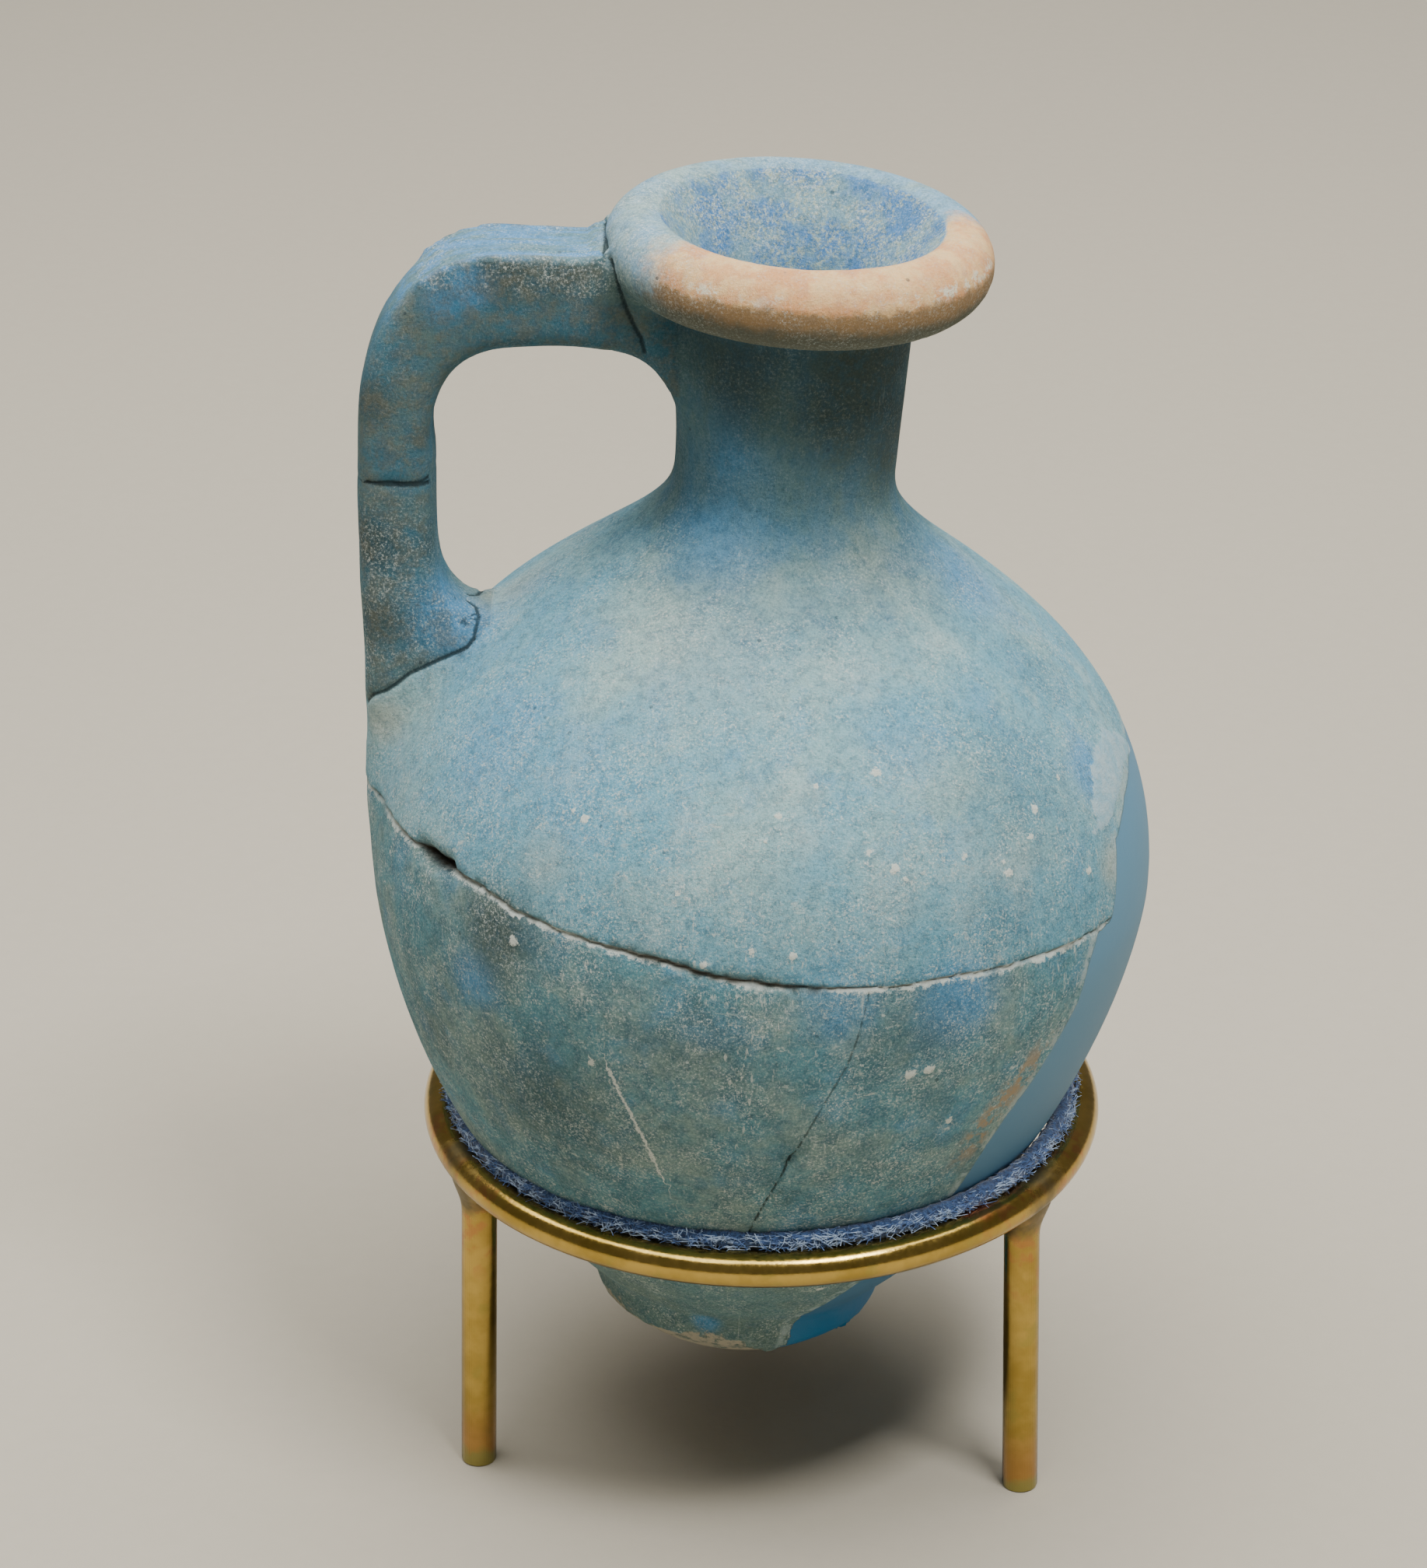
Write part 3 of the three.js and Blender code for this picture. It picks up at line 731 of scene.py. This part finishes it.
class Recipe:
    def __init__(self, name):
        self.material = bpy.data.materials.new(name)
        self.material.use_nodes = True
        self.tree = self.material.node_tree
        self.shader = next(n for n in self.tree.nodes if n.type == "BSDF_PRINCIPLED")
        self.place = self.add("ShaderNodeTexCoord").outputs["Object"]

    def add(self, kind, **settings):
        node = self.tree.nodes.new(kind)
        for name, value in settings.items():
            setattr(node, name, value)
        return node

    def feed(self, socket, value):
        if hasattr(value, "is_output"):
            self.tree.links.new(value, socket)
        else:
            socket.default_value = value

    def math(self, operation, a, b=0.0):
        node = self.add("ShaderNodeMath", operation=operation)
        self.feed(node.inputs[0], a)
        self.feed(node.inputs[1], b)
        return node.outputs[0]

    def plus(self, a, b):
        return self.math("ADD", a, b)

    def minus(self, a, b):
        return self.math("SUBTRACT", a, b)

    def times(self, a, b):
        return self.math("MULTIPLY", a, b)

    def swing(self, noise, amount, middle=0.5):
        """Noise moved to swing either way of zero, over about the amount."""
        return self.times(self.minus(noise, middle), amount)

    def kept(self, name):
        return self.add("ShaderNodeAttribute", attribute_name=name).outputs["Fac"]

    def cloud(self, size, detail=3.0, rough=0.55, stretch=None):
        """Noise from 0 to 1 whose lumps are size millimetres across."""
        place = self.place
        if stretch:
            mapping = self.add("ShaderNodeMapping")
            self.feed(mapping.inputs["Vector"], place)
            mapping.inputs["Scale"].default_value = stretch
            mapping.inputs["Rotation"].default_value = SLANT
            place = mapping.outputs[0]
        node = self.add("ShaderNodeTexNoise")
        self.feed(node.inputs["Vector"], place)
        node.inputs["Scale"].default_value = 1 / (size * MM)
        node.inputs["Detail"].default_value = detail
        node.inputs["Roughness"].default_value = rough
        return node.outputs["Fac"]

    def specks(self, size):
        """Distance to scattered points, 0 at each."""
        node = self.add("ShaderNodeTexVoronoi")
        self.feed(node.inputs["Vector"], self.place)
        node.inputs["Scale"].default_value = 1 / (size * MM)
        return node.outputs["Distance"]

    def between(self, value, low, high, start=0.0, end=1.0):
        """A soft step: start where value is at low, end where it's at high."""
        node = self.add("ShaderNodeMapRange", interpolation_type="SMOOTHSTEP")
        names = ("Value", "From Min", "From Max", "To Min", "To Max")
        for name, given in zip(names, (value, low, high, start, end)):
            self.feed(node.inputs[name], given)
        return node.outputs[0]

    def mix(self, share, a, b):
        node = self.add("ShaderNodeMix", data_type="RGBA", blend_type="MIX")
        self.feed(node.inputs["Factor"], share)
        self.feed(node.inputs["A"], a)
        self.feed(node.inputs["B"], b)
        return node.outputs["Result"]

    def finish(self, colour, roughness, height=None, depth=0.1, **fixed):
        self.feed(self.shader.inputs["Base Color"], colour)
        self.feed(self.shader.inputs["Roughness"], roughness)
        if height is not None:
            bump = self.add("ShaderNodeBump")
            bump.inputs["Distance"].default_value = depth * MM
            self.feed(bump.inputs["Height"], height)
            self.feed(self.shader.inputs["Normal"], bump.outputs[0])
        for name, value in fixed.items():
            self.shader.inputs[name.replace("_", " ")].default_value = value
        return self.material


# %% [markdown]
# ## Blue frit
# Frit is a body of crushed quartz coloured with copper. Buried and cleaned, it is matt and
# chalky: a pale bloom over a saturated blue that shows where it is rubbed, white flecks of
# quartz, dark pits. The modern fill is a smooth, even blue.

# %% Blue frit recipe: body
frit = Recipe("weathered_blue_frit")
m, between, mix, kept = frit.math, frit.between, frit.mix, frit.kept
plus, minus, times, swing = frit.plus, frit.minus, frit.times, frit.swing
height = kept("height")
large, medium, grain = frit.cloud(24, 3, 0.6), frit.cloud(7, 4, 0.65), frit.cloud(0.34, 5, 0.85)
crumbs, dust = frit.cloud(2.4, 5, 0.75), frit.cloud(8, 5, 0.75)


def broken(name, low=0.35, high=0.6, amount=0.5):
    """A zone kept on the mesh, with its border broken up by crumbs."""
    return between(plus(kept(name), swing(crumbs, amount)), low, high)


# pale shoulder, with a bluer and a chalkier cloud over it
colour = mix(between(large, 0.38, 0.66), paint(116, 180, 202), paint(160, 200, 202))
colour = mix(between(medium, 0.5, 0.7, 0, 0.5), colour, paint(108, 174, 210))
colour = mix(between(frit.cloud(15, 4, 0.65), 0.52, 0.68, 0, 0.55), colour, paint(186, 214, 214))
# darker and bluer below the shoulder: painted shade where the body turns from the overhead light
colour = mix(between(height, 98, 72, 0, 0.5), colour, paint(94, 152, 172))
# teal below the long join: two tones, then blue, earthy, dark and pale patches
lower = mix(between(frit.cloud(13, 4, 0.65), 0.4, 0.62), paint(96, 152, 164), paint(128, 158, 154))
lower = mix(between(frit.cloud(9, 3, 0.6), 0.52, 0.7, 0, 0.6), lower, paint(88, 150, 184))
lower = mix(between(frit.cloud(11, 5, 0.7), 0.56, 0.7, 0, 0.6), lower, paint(92, 118, 114))
lower = mix(between(frit.cloud(5, 5, 0.75), 0.54, 0.42, 0, 0.45), lower, paint(66, 108, 118))
lower = mix(between(frit.cloud(4, 5, 0.75), 0.52, 0.72, 0, 0.3), lower, paint(160, 188, 186))
colour = mix(between(kept("to_long_join"), 0.3, -0.3), colour, lower)
colour = mix(between(height, 40, 18, 0, 0.55), colour, paint(112, 138, 128))
# dark neck: painted shade from the rim above over a wiped two-tone, darkest just under the rim
to_neck = plus(height, times(medium, 14))
wiped = frit.cloud(6, 4, 0.6, stretch=(1, 1, 0.4))
neck = mix(between(wiped, 0.4, 0.6), paint(70, 114, 136), paint(90, 120, 122))
colour = mix(between(to_neck, 114, 130, 0, 0.9), colour, neck)
colour = mix(between(height, 138, 149, 0, 0.75), colour, paint(44, 70, 80))
# the strap darker than the body: painted shade on its sides
shaded_strap_side = mix(between(medium, 0.4, 0.62), paint(62, 114, 132), paint(92, 120, 120))
colour = mix(times(kept("strap"), 0.9), colour, shaded_strap_side)
colour = mix(times(broken("blue_stain", 0.1, 0.8, 0.3), 0.75), colour, paint(84, 158, 210))
# cream bloom, and painted light on the middle of the shoulder
colour = mix(times(broken("cream_and_painted_light", 0.1, 0.9, 0.4), 0.6), colour, paint(200, 202, 178))
# grime, and painted shade down the right of the belly
colour = mix(times(broken("grime_and_painted_shade", 0.1, 0.9, 0.35), 0.8), colour, paint(62, 74, 68))

# %% Blue frit recipe: strap, rim and mouth
# lighter, bluer top of the strap: painted light where it faces up, over its streaked blue
streak = between(frit.cloud(1.5, 3, 0.6, stretch=(0.1, 1, 1)), 0.42, 0.6)
lit_strap_top = mix(streak, paint(108, 146, 156), paint(92, 156, 208))
colour = mix(times(kept("lit_strap_top"), 0.85), colour, lit_strap_top)
strap_edge = times(kept("strap"), between(m("ABSOLUTE", kept("strap_across")), 4.2, 6.2))
colour = mix(times(strap_edge, between(crumbs, 0.4, 0.6, 0, 0.55)), colour, paint(112, 112, 96))
rim = mix(between(medium, 0.4, 0.65), paint(136, 178, 204), paint(156, 184, 184))
round_rim = plus(kept("round_rim"), swing(crumbs, 46))
# the rim darker where the roll turns under: painted shade
rim = mix(between(round_rim, 80, 130), rim, paint(96, 122, 120))
tan = mix(between(frit.cloud(5, 4, 0.7), 0.4, 0.62), paint(242, 202, 144), paint(230, 168, 112))
tan = mix(between(frit.cloud(3, 3, 0.6), 0.55, 0.7, 0, 0.5), tan, paint(216, 166, 134))
outer_edge = times(between(round_rim, 50, 62), between(round_rim, 82, 70))
chalky = times(outer_edge, between(frit.cloud(2.6, 6, 0.8), 0.5, 0.56))
tan = mix(times(chalky, between(frit.cloud(9, 2), 0.42, 0.55)), tan, paint(242, 232, 206))
# brown down the outer face, olive under the roll: brown staining with painted shade under the rim
tan = mix(between(round_rim, 68, 84), tan, paint(150, 122, 84))
tan = mix(between(round_rim, 92, 122), tan, paint(104, 104, 88))
rim = mix(broken("worn_rim", 0.2, 0.85, 1.1), rim, tan)
colour = mix(kept("rim"), colour, rim)
mouth_colour = mix(between(medium, 0.40, 0.6), paint(78, 136, 192), paint(128, 168, 184))
yellowed = times(between(frit.cloud(4, 4, 0.7), 0.42, 0.58, 0.15, 1),
                 between(frit.cloud(0.5, 4, 0.85), 0.46, 0.6, 0, 0.75))
mouth_colour = mix(yellowed, mouth_colour, paint(196, 204, 172))
in_mouth = between(plus(kept("mouth"), swing(grain, 0.4)), 0.4, 0.6)
colour = mix(in_mouth, colour, mouth_colour)

# %% Blue frit recipe: grain, flecks and pits
dusty = between(dust, 0.42, 0.6)
white, off_white, pit_blue = paint(218, 226, 220), paint(208, 216, 208), paint(40, 66, 78)
neck_bare = times(between(height, 110, 124), between(height, 150, 148))  # it keeps little dust
rubbed_bare = m("MAXIMUM", times(kept("strap"), 0.4), kept("worn_rim"))
bare = m("MAXIMUM", times(neck_bare, 0.8), times(rubbed_bare, 0.5))
dusty_there = times(minus(1.0, bare), plus(0.45, dusty))
mottle = between(frit.cloud(1.6, 5, 0.8), 0.56, 0.38)
colour = mix(times(mottle, minus(0.38, times(kept("worn_rim"), 0.3))), colour, paint(52, 98, 122))
dark_grain = mix(minus(0.8, times(kept("worn_rim"), 0.6)), colour, pit_blue)
colour = mix(between(grain, 0.5, 0.32, 0, 0.6), colour, dark_grain)
colour = mix(times(between(grain, 0.5, 0.66, 0, 0.75), dusty_there), colour, white)
flakes = between(frit.cloud(0.9, 5, 0.85, stretch=(1, 1, 0.5)), 0.6, 0.66)
flakes = times(flakes, minus(dusty_there, 0.25))
colour = mix(times(flakes, between(height, 106, 74, 0.35, 0.8)), colour, off_white)
large_flakes = times(between(frit.cloud(2.6, 6, 0.8, stretch=(0.7, 1, 1)), 0.62, 0.65),
                     between(frit.cloud(14, 3), 0.46, 0.56))
colour = mix(times(large_flakes, between(height, 98, 82, 0, 0.85)), colour, paint(200, 214, 210))
for long_way in ((0.14, 1, 1), (1, 0.16, 1), (1, 1, 0.14)):
    nicks = between(frit.cloud(0.6, 3, 0.7, stretch=long_way), 0.62, 0.68)
    nicks = times(nicks, between(frit.cloud(13, 3, 0.6, stretch=long_way), 0.48, 0.6))
    colour = mix(times(nicks, between(height, 104, 90, 0.1, 0.7)), colour, off_white)
pits = times(between(frit.specks(3.4), 0.10, 0.06), between(medium, 0.5, 0.6))
colour = mix(times(pits, 0.6), colour, paint(40, 62, 74))
spot = plus(kept("white_mark"), swing(frit.cloud(0.8, 4, 0.8), 2.2))
colour = mix(between(spot, 0.5, 0.62, 0, 0.9), colour, paint(222, 228, 218))

# %% Blue frit recipe: fill and flake
fill = between(plus(kept("to_fill"), swing(crumbs, 1.6)), -0.1, 0.15)
# the fill darker towards its bottom: painted shade; the saturated blue at the very foot is its own colour
fill_colour = mix(between(height, 20, 80), paint(52, 104, 140), paint(92, 142, 172))
fill_colour = mix(between(height, 14, 6), fill_colour, paint(12, 108, 162))
fill_colour = mix(between(large, 0.3, 0.7, 0, 0.35), fill_colour, paint(88, 136, 164))
chalk = times(between(m("ABSOLUTE", plus(kept("to_fill"), 0.6)), 1.3, 0.3), between(crumbs, 0.45, 0.56))
colour = mix(times(chalk, 0.75), colour, paint(176, 198, 200))
rubbed = times(between(m("ABSOLUTE", plus(kept("to_fill"), 3.4)), 3.6, 0.6),
           times(between(height, 42, 50), between(height, 66, 58)))
colour = mix(times(rubbed, between(crumbs, 0.42, 0.56)), colour, paint(168, 150, 122))
colour = mix(fill, colour, fill_colour)
flake = between(plus(kept("to_flake"), swing(crumbs, 3.4)), -0.1, 0.15)
flake_colour = mix(between(crumbs, 0.4, 0.6), paint(150, 192, 210), paint(182, 208, 216))
colour = mix(times(flake, 0.9), colour, flake_colour)

# %% Blue frit recipe: joins, scratch and chipped foot
ragged = frit.cloud(0.9, 4, 0.8)
ragged_crumbs = plus(ragged, crumbs)
edge = plus(kept("to_long_join"), swing(ragged_crumbs, 2.6, middle=1.0))
lower_lip = times(between(edge, -0.8, -0.4), between(kept("to_long_join"), 0.25, 0.0))
lower_lip = times(lower_lip, between(frit.cloud(7, 3), 0.38, 0.5, 0.12, 1))
not_fill = minus(1.0, fill)
colour = mix(times(times(lower_lip, not_fill), 0.95), colour, paint(218, 228, 222))
colour = mix(times(kept("groove"), 0.95), colour, paint(66, 54, 40))
hair = between(plus(kept("to_down_join"), swing(crumbs, 0.5)), 0.22, 0.06)
hair = times(hair, between(height, 58, 50, 0.6, 0.85))
colour = mix(times(hair, not_fill), colour, paint(44, 56, 56))
seam = between(plus(kept("to_seams"), swing(grain, 0.3)), 0.42, 0.12)
colour = mix(times(seam, 0.85), colour, paint(28, 46, 52))
bent = plus(kept("to_scratch"), swing(ragged_crumbs, 1.5, middle=1.0))
scratch = between(m("ABSOLUTE", bent), 0.3, 0.1)
colour = mix(times(scratch, 0.95), colour, paint(222, 228, 220))
chips = plus(kept("chipped_foot"), swing(ragged, 1.4))
bare_frit = mix(between(crumbs, 0.46, 0.6), paint(190, 184, 164), paint(104, 126, 120))
colour = mix(times(between(chips, 0.3, 0.5), not_fill), colour, bare_frit)
inside_colour = mix(medium, paint(84, 130, 160), paint(120, 150, 160))
colour = mix(kept("inner_wall"), colour, inside_colour)
relief = plus(times(grain, 0.55), times(frit.cloud(1.2, 5, 0.75), 0.9))
relief = times(relief, between(fill, 0, 1, 1, 0.15))
chalky_to_smooth = between(fill, 0, 1, 0.9, 0.55)
jug.data.materials.clear()
jug.data.materials.append(frit.finish(colour, chalky_to_smooth, relief, 0.35, Specular_IOR_Level=0.3))
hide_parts("jug")
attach(jug, "root")

# %% [markdown]
# ## Brass rod
# The ring and the legs are one stock rod, bent and brazed. The polish is fine drawn lines
# along the rod, and the torch has left brown, pink and green tints near each joint.

# %% Rod sizes
rod, ring_radius, leg_splay, leg_inset, first_turn = 4.76, 43.4, 1.5, 1.85, -64.7
ring_height = ring_centre.z / MM
leg_height = ring_height - 1.4
leg_turns = {"left": first_turn, "right": first_turn + 120, "back": first_turn + 240}


def leg_line(turn):
    """Top and bottom of a leg's middle line, in millimetres round the ring's centre."""
    out_there = Vector((math.sin(math.radians(turn)), -math.cos(math.radians(turn)), 0))
    top = out_there * (ring_radius - leg_inset)
    foot = top + out_there * math.tan(math.radians(leg_splay)) * leg_height
    base = Vector((ring_centre.x, ring_centre.y, 0)) / MM
    return base + top + Vector((0, 0, leg_height)), base + foot


# %% Ring
rest()
bpy.ops.mesh.primitive_torus_add(major_segments=220, minor_segments=36, major_radius=ring_radius * MM,
                                 minor_radius=rod / 2 * MM, location=ring_centre)
ring = bpy.context.object
ring.name = "brass_ring"
bpy.ops.object.transform_apply(location=True, rotation=True, scale=True)
bpy.ops.object.shade_smooth()
print("ring", len(ring.data.vertices))

# %% [markdown]
# A leg is a cylinder with a small bevel at its foot. Its top is pulled out into the web
# of brazing metal that runs up on to the ring.

# %% Legs
BISECTS, web_height, web_lean, web_flare = 24, 7.5, 1.1, 0.9
legs = {}
for name, turn in leg_turns.items():
    top, foot = leg_line(turn)
    rest()
    bpy.ops.mesh.primitive_cylinder_add(vertices=40, radius=rod / 2 * MM, depth=(top - foot).length * MM,
                                        location=(top + foot) / 2 * MM)
    leg = bpy.context.object
    leg.name = "brass_leg_" + name
    leg.rotation_euler = (top - foot).to_track_quat("Z", "Y").to_euler()
    bpy.ops.object.transform_apply(location=True, rotation=True, scale=True)
    bpy.ops.object.mode_set(mode="EDIT")
    bpy.ops.mesh.select_all(action="SELECT")
    bpy.ops.mesh.bevel(offset=0.25 * MM, segments=2)
    for step in range(BISECTS):
        height_there = leg_height * (1 - step / BISECTS * 0.35) - 0.5
        bpy.ops.mesh.select_all(action="SELECT")
        bpy.ops.mesh.bisect(plane_co=(0, 0, height_there * MM), plane_no=(0, 0, 1))
    rest()
    legs[name] = leg
    spots = places_of(leg) / MM
    base = np.array(ring_centre) / MM
    out_from_centre = np.hypot(spots[:, 0] - base[0], spots[:, 1] - base[1])
    radial = np.stack([spots[:, 0] - base[0], spots[:, 1] - base[1]], 1) / out_from_centre[:, None]
    sideways = np.array([math.cos(math.radians(turn)), math.sin(math.radians(turn))])
    aside = (spots[:, :2] - base[:2]) @ sideways
    web = soft(spots[:, 2], ring_height - web_height, ring_height - 1.6) ** 1.6
    spots[:, :2] += radial * (web * web_lean)[:, None] + np.outer(aside * web * web_flare, sideways)
    spots[:, 2] = np.maximum(spots[:, 2], 0)
    set_places(leg, spots * MM)
    leg_name = "stand_leg_" + name
    pick(leg)
    bpy.ops.object.shade_smooth_by_angle(angle=math.radians(40))
    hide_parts(leg_name)
    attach(leg, "root")
print("legs", [len(leg.data.vertices) for leg in legs.values()])

# %% Brass recipe
copper_across, copper_down, copper_size = 1243, 1562, 3.2
sight = line_of_sight(copper_across, copper_down)
copper_place = camera_place + sight * ((ring_centre.z + MM - camera_place.z) / sight.z)
copper_place = np.array(copper_place) / MM
for piece in [ring, *legs.values()]:
    spots = places_of(piece) / MM
    near = np.full(len(spots), FAR)
    for turn in leg_turns.values():
        top, foot = leg_line(turn)
        near = np.minimum(near, np.linalg.norm(spots - np.array(top), axis=1))
    note(piece, "from_torch", near)
    note(piece, "above_table", spots[:, 2])
    note(piece, "coppery", dent(np.linalg.norm(spots - copper_place, axis=1), copper_size))

brass = Recipe("polished_brass_rod")
between, mix, kept, plus, times = brass.between, brass.mix, brass.kept, brass.plus, brass.times
drawn = brass.cloud(0.8, 4, 0.7)
cloudy = brass.cloud(6, 4, 0.6)
colour = mix(between(cloudy, 0.35, 0.65), paint(196, 166, 88), paint(172, 144, 68))
colour = mix(between(brass.cloud(3.5, 3), 0.55, 0.7, 0, 0.5), colour, paint(164, 150, 76))
torch = plus(kept("from_torch"), times(cloudy, 9))
blush = times(between(torch, 21, 14), between(torch, 7, 11))
colour = mix(times(blush, between(brass.cloud(2.5, 3), 0.48, 0.62, 0.05, 0.6)), colour, paint(184, 118, 76))
colour = mix(between(torch, 11, 8, 0, 0.9), colour, paint(110, 100, 74))
toe = plus(kept("above_table"), times(cloudy, 8))
colour = mix(between(toe, 16, 8, 0, 0.45), colour, paint(184, 124, 84))
colour = mix(between(toe, 7, 5, 0, 0.6), colour, paint(140, 156, 92))
coppery = plus(kept("coppery"), brass.swing(cloudy, 0.8))
colour = mix(between(coppery, 0.25, 0.6, 0, 0.9), colour, paint(238, 150, 92))
roughness = plus(between(drawn, 0.3, 0.7, 0.12, 0.24), between(torch, 12, 8, 0, 0.25))
brass_finish = brass.finish(colour, roughness, drawn, 0.02, Metallic=1.0)
for piece in [ring, *legs.values()]:
    piece.data.materials.clear()
    piece.data.materials.append(brass_finish)
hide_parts("stand_ring")
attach(ring, "root")

# %% [markdown]
# ## Felt
# A strip of blue felt keeps the brass off the jug. It is a thin band folded over the
# ring's inside, and its edge is a fuzz of loose wool that catches the light.

# %% Felt band
felt_thickness, felt_gap = 1.8, 0.2
felt_top = rod / 2 + felt_thickness
felt_outer = ring_radius - rod / 2 - felt_gap
strip = [(felt_outer - felt_thickness, -1.2), (felt_outer, -1.2), (felt_outer + 0.1, 0.6),
         (felt_outer + 0.55, 1.6), (felt_outer + 1.35, 2.25), (felt_outer + 1.5, 2.7),
         (felt_outer + 1.3, felt_top - 0.4), (felt_outer + 0.6, felt_top),
         (felt_outer - 0.4, felt_top - 0.2), (felt_outer - 1.1, rod / 2 - 0.2),
         (felt_outer - 1.6, 0.3), (felt_outer - felt_thickness, -1.2)]
felt = spin(draw("felt_band", strip), 260)
felt.data.transform(Matrix.Translation(ring_centre))
spots = places_of(felt)
fuzz = wander(spots, 0.9, 2.0) * 0.45 + wander(spots, 3.0, 9.0) * 0.3
set_places(felt, spots + directions_of(felt) * (fuzz * MM)[:, None])
pick(felt)
bpy.ops.object.shade_smooth()
wool = Recipe("blue_wool_felt")
tuft = wool.cloud(0.5, 4, 0.7)
wool_colour = wool.mix(wool.between(tuft, 0.35, 0.65), paint(28, 48, 84), paint(66, 98, 146))
wool_finish = wool.finish(wool_colour, 1.0, tuft, 0.3, Sheen_Weight=0.5)
felt.data.materials.append(wool_finish)
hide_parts("felt_lining")
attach(felt, "root")

# %% [markdown]
# One hair of wool is a thin blade of a few faces. It is modelled once and copied some six
# thousand times along the band's upper edge, each bent and turned its own way.

# %% Loose wool
rest()
bpy.ops.mesh.primitive_cone_add(vertices=3, radius1=0.07 * MM, radius2=0.03 * MM, depth=MM,
                                location=(0, 0, 0.5 * MM))
hair_piece = bpy.context.object
bpy.ops.object.mode_set(mode="EDIT")
bpy.ops.mesh.select_mode(type="VERT")
bpy.ops.mesh.select_all(action="SELECT")
bpy.ops.mesh.bisect(plane_co=(0, 0, 0.5 * MM), plane_no=(0, 0, 1))
rest()
hair_shape = places_of(hair_piece)
hair_faces = [tuple(p.vertices) for p in hair_piece.data.polygons]
bpy.data.objects.remove(hair_piece)
chance = np.random.default_rng(7)
tries, shortest, longest, curl = 11000, 0.7, 2.6, 0.8
all_places, all_faces = [], []
for _ in range(tries):
    turn_here = chance.uniform(-math.pi, math.pi)
    clump = Vector((math.cos(turn_here) * 6, math.sin(turn_here) * 6, 0.5))
    thick = 0.45 + 0.55 * noise.noise(clump) + 0.35 * math.exp(-(turn_here / 0.9) ** 2)
    if chance.uniform() > thick:
        continue
    root = Vector((0, -chance.uniform(felt_outer - 0.2, felt_outer + 2.1),
                   felt_top - chance.uniform(0, 1.9)))
    length = chance.uniform(shortest, longest)
    aim = Vector((chance.normal(0, 1.1), chance.normal(-0.35, 0.5), chance.normal(0.15, 0.3)))
    aim.normalize()
    bend = Vector((chance.normal(0, 0.7), chance.normal(0, 0.6), chance.normal(-0.3, 0.35)))
    along = hair_shape[:, 2:3] / MM
    turned_hair = np.array(aim.to_track_quat("Z", "Y").to_matrix())
    here = (hair_shape * [1, 1, 0]) @ turned_hair.T / MM + along * length * np.array(aim)
    here = here + along ** 2 * np.array(bend) * curl + np.array(root)
    over_rod = np.maximum((rod / 2) ** 2 - (np.hypot(here[:, 0], here[:, 1]) - ring_radius) ** 2, 0)
    here[:, 2] = np.maximum(here[:, 2], np.sqrt(over_rod) + 0.05)
    here = here @ np.array(Matrix.Rotation(turn_here, 3, "Z")).T + np.array(ring_centre) / MM
    start = len(all_places) * len(hair_shape)
    all_places.append(here * MM)
    all_faces += [tuple(i + start for i in f) for f in hair_faces]
wool_mesh = bpy.data.meshes.new("loose_wool")
wool_mesh.from_pydata([tuple(v) for v in np.concatenate(all_places)], [], all_faces)
loose_wool = bpy.data.objects.new("loose_wool", wool_mesh)
bpy.context.scene.collection.objects.link(loose_wool)
fibre = Recipe("blue_wool_fibre")
# the loose hairs paler in patches than the band: painted highlight of the fuzz catching the light, on the
# same blue wool
lit_fibre_there = fibre.between(fibre.cloud(1.5, 2), 0.42, 0.6)
fibre_colour = fibre.mix(lit_fibre_there, paint(84, 116, 170), paint(178, 200, 228))
loose_wool.data.materials.append(fibre.finish(fibre_colour, 0.8, Sheen_Weight=0.3))
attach(loose_wool, "root")
print("hairs", len(all_places), "faces", len(all_faces))

# %% [markdown]
# ## Table and light
# A plain pale table, one broad soft light overhead and a weaker one from the front, as in
# a small product studio.

# %% Floor
rest()
bpy.ops.mesh.primitive_plane_add(size=6, location=(0, 0, 0))
table = bpy.context.object
table.name = "table"
paper = Recipe("pale_paper")
paper_grain = paper.cloud(3, 4, 0.7)
paper_colour = paper.mix(paper_grain, paint(180, 173, 158), paint(186, 179, 164))
table.data.materials.append(paper.finish(paper_colour, 0.95, paper_grain, 0.05, Specular_IOR_Level=0.1))

# %% Lights
AIM, WARM_WHITE = Vector((0, 0, 0.08)), (1, 0.985, 0.96)


def soft_light(name, place, size, power):
    light = bpy.data.objects.new(name, bpy.data.lights.new(name, "AREA"))
    bpy.context.scene.collection.objects.link(light)
    light.data.shape = "RECTANGLE"
    light.data.size, light.data.size_y = size
    light.data.energy = power
    light.data.color = WARM_WHITE
    light.location = place
    light.rotation_euler = (AIM - Vector(place)).to_track_quat("-Z", "Y").to_euler()
    print(name, "gives", power, "watts")


soft_light("overhead", place=(-0.08, 0.12, 1.0), size=(1.3, 1.15), power=20.0)
soft_light("front_right", place=(0.28, -0.36, 0.95), size=(0.3, 0.2), power=7.5)
world = bpy.data.worlds.new("studio")
bpy.context.scene.world = world
world.use_nodes = True
sky = world.node_tree.nodes["Background"]
sky.inputs["Color"].default_value = (1, 0.95, 0.87, 1)
sky.inputs["Strength"].default_value = 0.16
